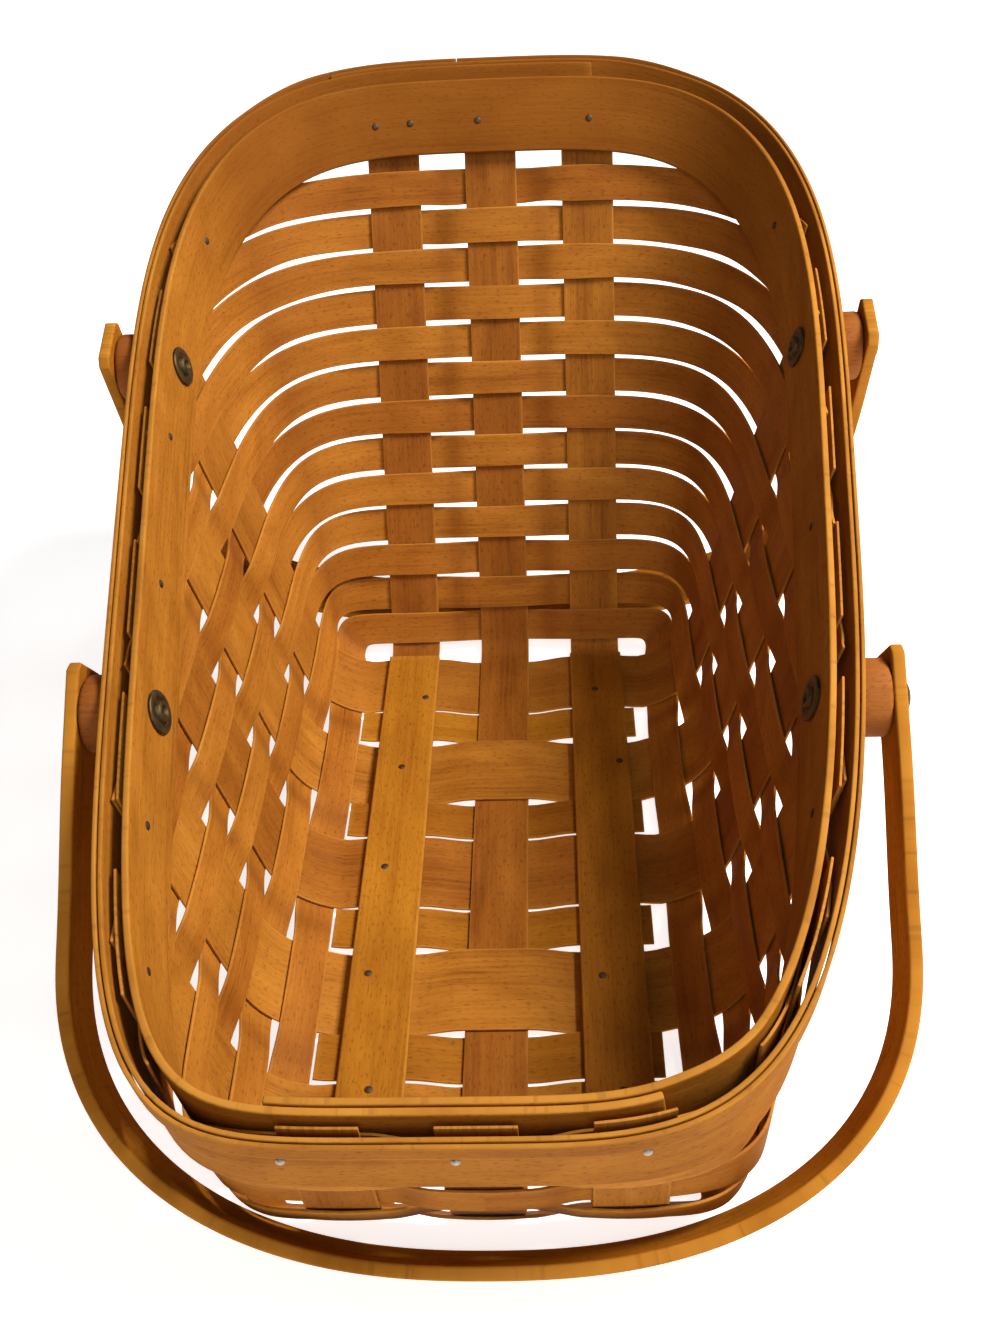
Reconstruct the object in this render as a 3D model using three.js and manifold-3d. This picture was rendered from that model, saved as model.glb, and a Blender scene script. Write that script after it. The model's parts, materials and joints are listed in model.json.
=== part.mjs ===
// Vegetable basket: a plain-woven splint basket with a rim that slopes down to the front,
// two floor runners, a doubled rim band and two swing handles on riveted pivots.
// Millimetres, +Z up, +X to the right, +Y to the high back. The origin lies on the ground under the
// middle of the floor, on the underside of the middle cross splint.

import * as THREE from 'three';
import Module from 'manifold-3d';
import { mergeVertices } from 'three/addons/utils/BufferGeometryUtils.js';

const wasm = await Module();
wasm.setup();

// Splint stock
const SPLINT_THICKNESS = 0.8;
const WEAVER_WIDTH = 12.5;
const UPRIGHT_WIDTH = 19;
const CROSS_WIDTH = 31;
const FILLER_WIDTH = 16;
const RUNNER_WIDTH = 20;
const RUNNER_THICKNESS = 2;

// Rim stock
const BAND_WIDTH = 25.4;
const INNER_BAND_THICKNESS = 2;
const OUTER_BAND_THICKNESS = 1.3;
const TRIM_WIDTH = 6;
const TRIM_THICKNESS = 1.2;

// Clearances
const LAYER_GAP = 0.3;
const BAND_GAP = 0.75;
const SEAT_GAP = 0.3;
const PIN_GAP = 0.3;

// Spacing of the weave
const UPRIGHT_PITCH = 35.9;
const CROSS_PITCH = 49.4;
const SIDE_MARGIN = 1.6;
const END_MARGIN = 3;
const WEAVER_ROWS = 13;
const WEAVER_GAP = 1.5;
const FIRST_ROW_START = 7.3;
const LIFT_RUNOUT = 6.4;

// Walls: each bend up from the floor as its radius and the steepness it ends at, and the lean
// outwards above the bends. Degrees from level for the bends, from upright for the lean.
const SIDE_FLARE = 14.5;
const SIDE_BEND_RADIUS = 28;
const SIDE_BENDS = [{ radius: SIDE_BEND_RADIUS, until: 90 - SIDE_FLARE }];
const FRONT_FLARE = 9;
const FRONT_FOOT_RADIUS = 8;
const FRONT_SWEEP_RADIUS = 68;
const FRONT_BENDS = [
  { radius: FRONT_FOOT_RADIUS, until: 50 },
  { radius: FRONT_SWEEP_RADIUS, until: 90 - FRONT_FLARE },
];
const BACK_FLARE = 24.6;
const BACK_FOOT_RADIUS = 8;
const BACK_BENDS = [{ radius: BACK_FOOT_RADIUS, until: 90 - BACK_FLARE }];

// Corners in plan: 0 is square, 0.5 is an ellipse
const FLOOR_ROUNDNESS = 0.03;
const RIM_ROUNDNESS = 0.28;
const ROUNDNESS_EASE = 1.1;

// Rim
const FRONT_RIM_HEIGHT = 75.6;
const BACK_RIM_HEIGHT = 196.5;
const TUCK_BELOW_RIM = 1.5;
const INNER_LAP_START = -49;
const INNER_LAP_END = 43;
const OUTER_LAP_START = 38;
const OUTER_LAP_END = -57;
const LAP_EASE = 30;
const LAP_MARGIN = 3;
const TRIM_JOINT = 0.8;
const TRIM_JOINT_X = -12;

// Handles and pivots
const FRONT_PIVOT_Y = -31;
const REAR_PIVOT_Y = 94;
const PIVOT_BELOW_RIM = 12.7;
const HANDLE_WIDTH = 20;
const HANDLE_THICKNESS = 3.6;
const HANDLE_END = 13;
const HANDLE_END_CHAMFER = 2.5;
const FRONT_SPACER_LENGTH = 9.6;
const REAR_SPACER_LENGTH = 9.1;
const FRONT_HANDLE_STANDOFF = 26.2;
const REAR_HANDLE_REACH = 145;
const REAR_HANDLE_CLEARANCE = 1.4;
const TABLE_GAP = 0.7;
const HANDLE_ARCH_DEPTH = 80;
const HANDLE_ARCH_ROUNDNESS = 0.425;
const SPACER_DIAMETER = 21.6;
const SHANK_DIAMETER = 5;
const INNER_HEAD_DIAMETER = 12.7;
const INNER_HEAD_HEIGHT = 1.9;
const OUTER_HEAD_DIAMETER = 9.6;
const OUTER_HEAD_HEIGHT = 2.4;

// Worked out from the values above
const WEAVE_OFFSET = SPLINT_THICKNESS + LAYER_GAP;
const WEAVE_HALF = WEAVE_OFFSET + SPLINT_THICKNESS / 2;
const FLOOR_LEVEL = WEAVE_HALF;
const FLOOR_HALF_WIDTH = UPRIGHT_PITCH + UPRIGHT_WIDTH / 2 + SIDE_MARGIN;
const FLOOR_HALF_LENGTH = 2 * CROSS_PITCH + CROSS_WIDTH / 2 + END_MARGIN;
const ROW_PITCH = WEAVER_WIDTH + WEAVER_GAP;
const INNER_BAND_OFFSET = -(WEAVE_HALF + BAND_GAP + INNER_BAND_THICKNESS / 2);
const OUTER_BAND_OFFSET = WEAVE_HALF + BAND_GAP + OUTER_BAND_THICKNESS / 2;
const TRIM_OFFSET = OUTER_BAND_OFFSET + OUTER_BAND_THICKNESS / 2 + LAYER_GAP + TRIM_THICKNESS / 2;
const UPRIGHT_CENTRES = [-UPRIGHT_PITCH, 0, UPRIGHT_PITCH];
const CROSS_CENTRES = [-2, -1, 0, 1, 2].map((step) => step * CROSS_PITCH);
const SPLINT_SAG = 0.18;
const CURVED_ROWS = 4;
const CHORD_SAG = 0.22;
const LONGEST_CHORD = 30;
const SHORTEST_CHORD = 4;

const radians = (degrees) => (degrees * Math.PI) / 180;
const lerp = THREE.MathUtils.lerp;
const smooth = (value) => THREE.MathUtils.smoothstep(value, 0, 1);

// A wall in section: one or more bends up from the floor, then a straight lean outwards.
function wallProfile(bends, flareDegrees) {
  const flare = radians(flareDegrees);
  const arcs = [];
  let start = { turn: 0, distance: 0, up: 0, out: 0 };
  for (const { radius, until } of bends) {
    const turn = radians(until);
    arcs.push({ ...start, radius, end: turn });
    start = {
      turn,
      distance: start.distance + radius * (turn - start.turn),
      up: start.up + radius * (Math.cos(start.turn) - Math.cos(turn)),
      out: start.out + radius * (Math.sin(turn) - Math.sin(start.turn)),
    };
  }
  const straight = start;
  const arcAt = (key, value) => arcs.filter((arc) => arc[key] <= value).pop() ?? arcs[0];
  const turnAt = (arc, height) => (
    Math.acos(Math.min(1, Math.cos(arc.turn) - (height - arc.up) / arc.radius))
  );
  return {
    arcs,
    bendLength: straight.distance,
    up(distance) {
      if (distance >= straight.distance) {
        return straight.up + (distance - straight.distance) * Math.cos(flare);
      }
      const arc = arcAt('distance', distance);
      const turn = arc.turn + (distance - arc.distance) / arc.radius;
      return arc.up + arc.radius * (Math.cos(arc.turn) - Math.cos(turn));
    },
    out(height) {
      if (height >= straight.up) {
        return straight.out + (height - straight.up) * Math.tan(flare);
      }
      const arc = arcAt('up', height);
      return arc.out + arc.radius * (Math.sin(turnAt(arc, height)) - Math.sin(arc.turn));
    },
    distance(height) {
      if (height >= straight.up) {
        return straight.distance + (height - straight.up) / Math.cos(flare);
      }
      const arc = arcAt('up', height);
      return arc.distance + arc.radius * (turnAt(arc, height) - arc.turn);
    },
  };
}

const SIDE = wallProfile(SIDE_BENDS, SIDE_FLARE);
const FRONT = wallProfile(FRONT_BENDS, FRONT_FLARE);
const BACK = wallProfile(BACK_BENDS, BACK_FLARE);

// The wall's plan at a height above the floor's middle layer.
function planAt(height) {
  const back = FLOOR_HALF_LENGTH + BACK.out(height);
  const front = FLOOR_HALF_LENGTH + FRONT.out(height);
  return {
    halfWidth: FLOOR_HALF_WIDTH + SIDE.out(height),
    middle: (back - front) / 2,
    halfLength: (back + front) / 2,
  };
}

function roundnessAt(height, atBack) {
  const rimHeight = (atBack ? BACK_RIM_HEIGHT : FRONT_RIM_HEIGHT) - FLOOR_LEVEL;
  const eased = (share) => 1 - Math.exp(-ROUNDNESS_EASE * share);
  return lerp(FLOOR_ROUNDNESS, RIM_ROUNDNESS, eased(height / rimHeight) / eased(1));
}

// A point of the wall's middle surface. The angle runs counter-clockwise from the right side.
function wallPoint(angle, height) {
  const plan = planAt(height);
  const power = 2 * roundnessAt(height, Math.sin(angle) > 0);
  const across = Math.cos(angle);
  const along = Math.sin(angle);
  return new THREE.Vector3(
    plan.halfWidth * Math.sign(across) * Math.abs(across) ** power,
    plan.middle + plan.halfLength * Math.sign(along) * Math.abs(along) ** power,
    FLOOR_LEVEL + height,
  );
}

function angleAtX(x, height, atBack) {
  const power = 1 / (2 * roundnessAt(height, atBack));
  const turn = Math.acos(Math.min(Math.abs(x) / planAt(height).halfWidth, 1) ** power);
  if (atBack) {
    return x >= 0 ? turn : Math.PI - turn;
  }
  return x >= 0 ? -turn : Math.PI + turn;
}

function angleAtY(y, height, atRight) {
  const plan = planAt(height);
  const offset = (y - plan.middle) / plan.halfLength;
  const power = 1 / (2 * roundnessAt(height, offset > 0));
  const turn = Math.sign(offset) * Math.asin(Math.min(Math.abs(offset), 1) ** power);
  return atRight ? turn : Math.PI - turn;
}

const RIM_FRONT_Y = -(FLOOR_HALF_LENGTH + FRONT.out(FRONT_RIM_HEIGHT - FLOOR_LEVEL));
const RIM_BACK_Y = FLOOR_HALF_LENGTH + BACK.out(BACK_RIM_HEIGHT - FLOOR_LEVEL);
const RIM_SLOPE = (BACK_RIM_HEIGHT - FRONT_RIM_HEIGHT) / (RIM_BACK_Y - RIM_FRONT_Y);
const RIM_NORMAL = new THREE.Vector3(0, -RIM_SLOPE, 1).normalize();
const RIM_CENTRE = new THREE.Vector3(0, RIM_FRONT_Y, FRONT_RIM_HEIGHT);

// Signed distance of a point above the sloping rim plane.
function aboveRim(point) {
  return point.clone().sub(RIM_CENTRE).dot(RIM_NORMAL);
}

// The height at which a line up the wall reaches a level below the rim plane.
function heightBelowRim(angleFor, below) {
  let low = 0;
  let high = 1.3 * BACK_RIM_HEIGHT;
  for (let step = 0; step < 40; step += 1) {
    const middle = (low + high) / 2;
    if (aboveRim(wallPoint(angleFor(middle), middle)) > -below) {
      high = middle;
    } else {
      low = middle;
    }
  }
  return low;
}

// A row keeps its distance up the wall, so it sits a little higher where the bend is tight.
function rowHeight(angle, distance) {
  const endShare = Math.sin(angle) ** 2;
  const end = Math.sin(angle) > 0 ? BACK : FRONT;
  return lerp(SIDE.up(distance), end.up(distance), endShare);
}

function rowPoint(station, distance) {
  let height = distance;
  let angle = station.angle(height);
  for (let step = 0; step < 6; step += 1) {
    height = rowHeight(angle, distance);
    angle = station.angle(height);
  }
  return wallPoint(angle, height);
}

// Stations: places along a row, each with its angle at any height and its side of the weave.
const endStation = (x, atBack, lift) => ({ angle: (height) => angleAtX(x, height, atBack), lift });
const sideStation = (y, atRight, lift) => ({ angle: (height) => angleAtY(y, height, atRight), lift });

function mixedStation(first, second, share, lift = lerp(first.lift, second.lift, share)) {
  return { angle: (height) => lerp(first.angle(height), second.angle(height), share), lift };
}

// The uprights in order, counter-clockwise from the middle of the front.
function uprightSequence() {
  const front = [0, UPRIGHT_PITCH].map((x) => ({ wall: 'front', at: x, direction: 1 }));
  const right = CROSS_CENTRES.map((y) => ({ wall: 'right', at: y, direction: 1 }));
  const back = [...UPRIGHT_CENTRES].reverse().map((x) => ({ wall: 'back', at: x, direction: -1 }));
  const left = [...CROSS_CENTRES].reverse().map((y) => ({ wall: 'left', at: y, direction: -1 }));
  const last = [{ wall: 'front', at: -UPRIGHT_PITCH, direction: 1 }];
  return [...front, ...right, ...back, ...left, ...last];
}

function stationOn(wall, at, lift) {
  if (wall === 'front' || wall === 'back') {
    return endStation(at, wall === 'back', lift);
  }
  return sideStation(at, wall === 'right', lift);
}

// The cross splints next to the corners are bowed across their width, so they take a middle line.
const crossShares = (y) => (Math.abs(y) > 1.5 * CROSS_PITCH ? [-0.5, 0, 0.5] : [-0.5, 0.5]);

function crossingStations(upright, lift) {
  const isSide = upright.wall === 'left' || upright.wall === 'right';
  const shares = isSide ? crossShares(upright.at) : [-0.5, 0.5];
  const width = (isSide ? CROSS_WIDTH : UPRIGHT_WIDTH) * upright.direction;
  return shares.map((share) => stationOn(upright.wall, upright.at + share * width, lift));
}

// Between two crossings the weaver passes from one side of the wall to the other.
function passingStations(before, after, sameWall) {
  const count = sameWall ? 3 : 6;
  const stations = [];
  for (let step = 1; step < count; step += 1) {
    const share = step / count;
    const lift = lerp(before.lift, after.lift, (1 - Math.cos(Math.PI * share)) / 2);
    stations.push(mixedStation(before, after, share, lift));
  }
  return stations;
}

function rowStations(row) {
  const uprights = uprightSequence();
  const parity = row % 2 === 0 ? 1 : -1;
  const crossings = uprights.map((upright, index) => {
    const lift = parity * (index % 2 === 0 ? 1 : -1) * WEAVE_OFFSET;
    return crossingStations(upright, lift);
  });
  const stations = [];
  const firstMiddle = endStation(0, false, crossings[0][0].lift);
  stations.push(firstMiddle, crossings[0][1]);
  for (let index = 1; index <= uprights.length; index += 1) {
    const before = stations[stations.length - 1];
    const isLast = index === uprights.length;
    const crossing = crossings[index % uprights.length];
    const wall = uprights[index % uprights.length].wall;
    stations.push(...passingStations(before, crossing[0], wall === uprights[index - 1].wall));
    stations.push(...(isLast ? [crossing[0]] : crossing));
  }
  return stations;
}

// Cuts a row's stations where its upper edge runs in behind the rim bands.
function stationsBelowRim(stations, topDistance) {
  const room = (station) => -TUCK_BELOW_RIM - aboveRim(rowPoint(station, topDistance));
  if (stations.every((station) => room(station) >= 0)) {
    return { stations, closed: true };
  }
  const inside = stations.map((station) => room(station) >= 0);
  const first = inside.indexOf(true);
  const last = inside.lastIndexOf(true);
  const crossing = (outer, inner) => {
    let low = 0;
    let high = 1;
    for (let step = 0; step < 24; step += 1) {
      const middle = (low + high) / 2;
      if (room(mixedStation(inner, outer, middle)) >= 0) {
        low = middle;
      } else {
        high = middle;
      }
    }
    return mixedStation(inner, outer, low);
  };
  const start = crossing(stations[first - 1], stations[first]);
  const end = crossing(stations[last + 1], stations[last]);
  return { stations: [start, ...stations.slice(first, last + 1), end], closed: false };
}

// Normals of a grid of points, from its neighbours along and across.
function gridNormals(points, closed) {
  const count = points.length;
  return points.map((line, i) => line.map((point, j) => {
    const after = closed ? points[(i + 1) % count][j] : points[Math.min(i + 1, count - 1)][j];
    const before = closed ? points[(i + count - 1) % count][j] : points[Math.max(i - 1, 0)][j];
    const along = after.clone().sub(before);
    const across = line[Math.min(j + 1, line.length - 1)].clone().sub(line[Math.max(j - 1, 0)]);
    return along.cross(across).normalize();
  }));
}

function liftGrid(points, lifts, closed = false) {
  const normals = gridNormals(points, closed);
  return points.map((line, i) => line.map((point, j) => (
    point.clone().addScaledVector(normals[i][j], lifts[i])
  )));
}

// A strip of even thickness about a grid of points: one closed body.
function stripGeometry(points, thickness, closed = false) {
  const normals = gridNormals(points, closed);
  const across = points[0].length;
  const vertices = [];
  points.forEach((line, i) => {
    for (const side of [0.5, -0.5]) {
      line.forEach((point, j) => {
        vertices.push(point.clone().addScaledVector(normals[i][j], side * thickness));
      });
    }
  });
  const at = (i, side, j) => ((i % points.length) * 2 + side) * across + j;
  const triangles = [];
  const quad = (a, b, c, d) => {
    const isShorter = vertices[a].distanceTo(vertices[c]) < vertices[b].distanceTo(vertices[d]);
    triangles.push(...(isShorter ? [a, b, c, a, c, d] : [b, c, d, b, d, a]));
  };
  const spans = closed ? points.length : points.length - 1;
  for (let i = 0; i < spans; i += 1) {
    for (let j = 0; j < across - 1; j += 1) {
      quad(at(i, 0, j), at(i + 1, 0, j), at(i + 1, 0, j + 1), at(i, 0, j + 1));
      quad(at(i, 1, j), at(i, 1, j + 1), at(i + 1, 1, j + 1), at(i + 1, 1, j));
    }
    quad(at(i, 0, 0), at(i, 1, 0), at(i + 1, 1, 0), at(i + 1, 0, 0));
    const edge = across - 1;
    quad(at(i, 0, edge), at(i + 1, 0, edge), at(i + 1, 1, edge), at(i, 1, edge));
  }
  if (!closed) {
    const last = points.length - 1;
    for (let j = 0; j < across - 1; j += 1) {
      quad(at(0, 0, j), at(0, 0, j + 1), at(0, 1, j + 1), at(0, 1, j));
      quad(at(last, 0, j), at(last, 1, j), at(last, 1, j + 1), at(last, 0, j + 1));
    }
  }
  const geometry = new THREE.BufferGeometry();
  geometry.setAttribute('position', new THREE.Float32BufferAttribute(
    vertices.flatMap((vertex) => vertex.toArray()),
    3,
  ));
  geometry.setIndex(triangles);
  return facingOut(geometry);
}

function signedVolume(geometry) {
  const position = geometry.getAttribute('position');
  const index = geometry.getIndex();
  const corners = [new THREE.Vector3(), new THREE.Vector3(), new THREE.Vector3()];
  let volume = 0;
  for (let face = 0; face < index.count; face += 3) {
    corners.forEach((corner, k) => corner.fromBufferAttribute(position, index.getX(face + k)));
    volume += corners[0].dot(corners[1].clone().cross(corners[2])) / 6;
  }
  return volume;
}

function facingOut(geometry) {
  if (signedVolume(geometry) < 0) {
    const index = geometry.getIndex();
    for (let face = 0; face < index.count; face += 3) {
      const swap = index.getX(face + 1);
      index.setX(face + 1, index.getX(face + 2));
      index.setX(face + 2, swap);
    }
  }
  return geometry;
}

// Joining and cutting solids.
function asSolid(geometry) {
  const bare = geometry.clone();
  bare.deleteAttribute('normal');
  bare.deleteAttribute('uv');
  const merged = mergeVertices(bare, 1e-4);
  const mesh = new wasm.Mesh({
    numProp: 3,
    vertProperties: new Float32Array(merged.getAttribute('position').array),
    triVerts: new Uint32Array(merged.getIndex().array),
  });
  mesh.merge();
  return new wasm.Manifold(mesh);
}

function asGeometry(solid) {
  const mesh = solid.getMesh();
  const geometry = new THREE.BufferGeometry();
  geometry.setAttribute('position', new THREE.BufferAttribute(mesh.vertProperties.slice(), 3));
  geometry.setIndex(new THREE.BufferAttribute(mesh.triVerts.slice(), 1));
  return geometry;
}

function meetsBox(geometry, box) {
  geometry.computeBoundingBox();
  return geometry.boundingBox.intersectsBox(box);
}

function cutBy(geometry, cutters) {
  const near = cutters.filter((cutter) => {
    cutter.computeBoundingBox();
    return meetsBox(geometry, cutter.boundingBox);
  });
  if (near.length === 0) {
    return geometry;
  }
  const cut = near.reduce((solid, cutter) => solid.subtract(asSolid(cutter)), asSolid(geometry));
  return asGeometry(cut);
}

// One weaver: a ring low down, an open strip where the rim is below it at the front.
function weaverGeometry(row) {
  const start = FIRST_ROW_START + row * ROW_PITCH;
  const { stations, closed } = stationsBelowRim(rowStations(row), start + WEAVER_WIDTH);
  const shares = row < CURVED_ROWS ? [0, 0.5, 1] : [0, 1];
  const wall = stations.map((station) => (
    shares.map((share) => rowPoint(station, start + share * WEAVER_WIDTH))
  ));
  const lifted = liftGrid(wall, stations.map((station) => station.lift), closed);
  return stripGeometry(lifted, SPLINT_THICKNESS, closed);
}

// Halves a stretch of wall until its chords and its twist stay near the true surface.
function chordEnds(from, to, lines) {
  const middle = (from + to) / 2;
  const sags = lines.map((pointAt) => pointAt(from).lerp(pointAt(to), 0.5).distanceTo(pointAt(middle)));
  const spans = lines.map((pointAt) => pointAt(to).sub(pointAt(from)));
  const twists = spans.slice(1).map((span, index) => span.distanceTo(spans[index]) / 8);
  if (to - from < SHORTEST_CHORD || Math.max(...sags, ...twists) < SPLINT_SAG) {
    return [to];
  }
  return [...chordEnds(from, middle, lines), ...chordEnds(middle, to, lines)];
}

// Distances up a wall at which an upright is bent. Each line gives a point of one edge or middle
// line of the upright at a distance up the wall.
function wallSteps(profile, top, lines) {
  const breaks = [...profile.arcs.map((arc) => arc.distance), profile.bendLength, top];
  const stretches = breaks.slice(1).map((to, index) => chordEnds(breaks[index], to, lines));
  return [0, ...stretches.flat()];
}

// A splint that runs up one side wall, across the floor and up the other.
function crossSplintGeometry(index) {
  const centre = CROSS_CENTRES[index];
  const overMiddle = index % 2 === 1 ? 1 : -1;
  const ys = crossShares(centre).map((share) => centre + share * CROSS_WIDTH);
  const topAt = (y) => heightBelowRim((height) => angleAtY(y, height, true), TUCK_BELOW_RIM);
  const tops = ys.map(topAt);
  const middleTop = SIDE.distance(topAt(centre));
  const pointAt = (j, distance, atRight) => {
    const straight = Math.max(0, distance - SIDE.bendLength) / (middleTop - SIDE.bendLength);
    const height = SIDE.up(distance + straight * (SIDE.distance(tops[j]) - middleTop));
    return wallPoint(angleAtY(ys[j], height, atRight), height);
  };
  const lines = ys.map((_, j) => (distance) => pointAt(j, distance, true));
  const steps = wallSteps(SIDE, middleTop, lines);
  const runout = [1, 2, 3].map((step) => (LIFT_RUNOUT * step) / 3);
  const distances = [0, ...runout, ...steps.filter((distance) => distance > LIFT_RUNOUT + 1)];
  const wall = (atRight) => distances.map((distance) => ({
    points: ys.map((_, j) => pointAt(j, distance, atRight)),
    lift: -overMiddle * (1 - smooth(distance / LIFT_RUNOUT)),
  }));
  const floor = floorLifts(overMiddle).map(([x, lift]) => ({
    points: ys.map((y) => new THREE.Vector3(x, y, FLOOR_LEVEL)),
    lift,
  }));
  const rows = [...wall(false).reverse(), ...floor, ...wall(true)];
  const lifted = liftGrid(rows.map((row) => row.points), rows.map((row) => row.lift * WEAVE_OFFSET));
  return stripGeometry(lifted, SPLINT_THICKNESS);
}

// Where a floor splint passes over and under the three lengthwise splints: [x, lift].
function floorLifts(overMiddle) {
  const half = UPRIGHT_WIDTH / 2;
  const outer = [UPRIGHT_PITCH + half, UPRIGHT_PITCH - half];
  const passing = [1, 2].map((step) => {
    const lift = overMiddle * -Math.cos((Math.PI * step) / 3);
    return [lerp(UPRIGHT_PITCH - half, half, step / 3), lift];
  });
  const rightHalf = [...outer.map((x) => [x, -overMiddle]), ...passing, [half, overMiddle]];
  const leftHalf = rightHalf.map(([x, lift]) => [-x, lift]);
  return [...leftHalf, ...rightHalf.reverse()];
}

// A narrow splint between two cross splints, on the floor only.
function fillerGeometry(index) {
  const centre = (CROSS_CENTRES[index] + CROSS_CENTRES[index + 1]) / 2;
  const ys = [-0.5, 0.5].map((share) => centre + share * FILLER_WIDTH);
  const floor = floorLifts(-1);
  const lines = floor.map(([x]) => ys.map((y) => new THREE.Vector3(x, y, FLOOR_LEVEL)));
  const lifted = liftGrid(lines, floor.map(([, lift]) => lift * WEAVE_OFFSET));
  return stripGeometry(lifted, SPLINT_THICKNESS);
}

// A splint that runs up the front wall, along the floor and up the back wall.
function lengthwiseSplintGeometry(centre) {
  const xs = [0.5, -0.5].map((share) => centre + share * UPRIGHT_WIDTH);
  const wall = (profile, atBack) => {
    const top = heightBelowRim((height) => angleAtX(centre, height, atBack), TUCK_BELOW_RIM);
    const pointAt = (x, distance) => {
      const height = profile.up(distance);
      return wallPoint(angleAtX(x, height, atBack), height);
    };
    const lines = xs.map((x) => (distance) => pointAt(x, distance));
    const steps = wallSteps(profile, profile.distance(top), lines);
    return steps.map((distance) => xs.map((x) => pointAt(x, distance)));
  };
  const floor = [-0.5, 0, 0.5].map((share) => (
    xs.map((x) => new THREE.Vector3(x, share * 2 * (FLOOR_HALF_LENGTH - 2), FLOOR_LEVEL))
  ));
  return stripGeometry([...wall(FRONT, false).reverse(), ...floor, ...wall(BACK, true)], SPLINT_THICKNESS);
}

// The stout slats nailed along the floor inside.
function runnerGeometry() {
  const length = 2 * (FLOOR_HALF_LENGTH - END_MARGIN);
  return new THREE.BoxGeometry(RUNNER_WIDTH, length, RUNNER_THICKNESS);
}

const RUNNER_BOTTOM = FLOOR_LEVEL + WEAVE_HALF + SEAT_GAP;

// The rim line at one angle, and the line a band's width below it on the wall.
function rimEdges(angle) {
  const top = heightBelowRim(() => angle, 0);
  const rim = wallPoint(angle, top);
  const step = 1e-3;
  const ahead = wallPoint(angle + step, heightBelowRim(() => angle + step, 0));
  const along = ahead.sub(rim).normalize();
  const up = rim.clone().sub(wallPoint(angle, top - 1)).normalize();
  const square = up.addScaledVector(along, -up.dot(along)).normalize();
  const drop = BAND_WIDTH * square.dot(RIM_NORMAL);
  return { rim, lower: wallPoint(angle, heightBelowRim(() => angle, drop)) };
}

// Places along the rim between two angles, closer together where it curves more. Each place keeps
// its length from the start.
function rimWalk(startAngle, endAngle) {
  const fine = 1440;
  const samples = [];
  for (let i = 0; i <= fine; i += 1) {
    const angle = lerp(startAngle, endAngle, i / fine);
    samples.push({ angle, point: wallPoint(angle, heightBelowRim(() => angle, 0)), length: 0, weight: 0 });
  }
  for (let i = 1; i <= fine; i += 1) {
    const step = samples[i].point.clone().sub(samples[i - 1].point);
    const before = samples[Math.max(i - 2, 0)].point;
    const turn = i > 1 ? step.angleTo(samples[i - 1].point.clone().sub(before)) : 0;
    const chords = Math.sqrt((turn * step.length()) / (8 * CHORD_SAG));
    samples[i].length = samples[i - 1].length + step.length();
    samples[i].weight = samples[i - 1].weight + Math.max(chords, step.length() / LONGEST_CHORD);
  }
  const { weight, length } = samples[fine];
  const count = Math.ceil(weight);
  const places = [];
  let cursor = 0;
  for (let i = 0; i <= count; i += 1) {
    const wanted = (weight * i) / count;
    while (cursor < fine - 1 && samples[cursor + 1].weight < wanted) {
      cursor += 1;
    }
    const here = samples[cursor];
    const next = samples[cursor + 1];
    const share = (wanted - here.weight) / (next.weight - here.weight);
    places.push({
      angle: lerp(here.angle, next.angle, share),
      length: lerp(here.length, next.length, share),
    });
  }
  return { places, length };
}

function rimAngleAtX(x, atBack) {
  return angleAtX(x, heightBelowRim((height) => angleAtX(x, height, atBack), 0), atBack);
}

// A band bent round the rim; offsetAt gives its distance out from the wall at each place.
function rimStripGeometry(walk, width, thickness, offsetAt) {
  const lines = walk.places.map(({ angle }) => {
    const { rim, lower } = rimEdges(angle);
    return [rim.clone().lerp(lower, width / BAND_WIDTH), rim];
  });
  const offsets = walk.places.map(({ length }) => offsetAt(length, walk.length));
  return stripGeometry(liftGrid(lines, offsets), thickness);
}

// The inner band laps over itself at the front: its first end lies inside its last.
function innerBandGeometry() {
  const start = rimAngleAtX(INNER_LAP_START, false) - 2 * Math.PI;
  const end = rimAngleAtX(INNER_LAP_END, false) + 2 * Math.PI;
  const walk = rimWalk(start, end);
  const lap = rimWalk(start, end - 2 * Math.PI).length + LAP_MARGIN;
  const layer = INNER_BAND_THICKNESS + LAYER_GAP;
  return rimStripGeometry(walk, BAND_WIDTH, INNER_BAND_THICKNESS, (length) => (
    INNER_BAND_OFFSET - layer * (1 - smooth((length - lap) / LAP_EASE))
  ));
}

function outerLap() {
  const start = rimAngleAtX(OUTER_LAP_START, true);
  const end = rimAngleAtX(OUTER_LAP_END, true);
  return { start, end, length: rimWalk(start, end).length + LAP_MARGIN };
}

// The outer band laps over itself at the back: its last end lies outside its first.
function outerBandGeometry() {
  const lap = outerLap();
  const walk = rimWalk(lap.start, lap.end + 2 * Math.PI);
  const layer = OUTER_BAND_THICKNESS + LAYER_GAP;
  return rimStripGeometry(walk, BAND_WIDTH, OUTER_BAND_THICKNESS, (length, total) => (
    OUTER_BAND_OFFSET + layer * smooth((length - (total - lap.length - LAP_EASE)) / LAP_EASE)
  ));
}

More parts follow.
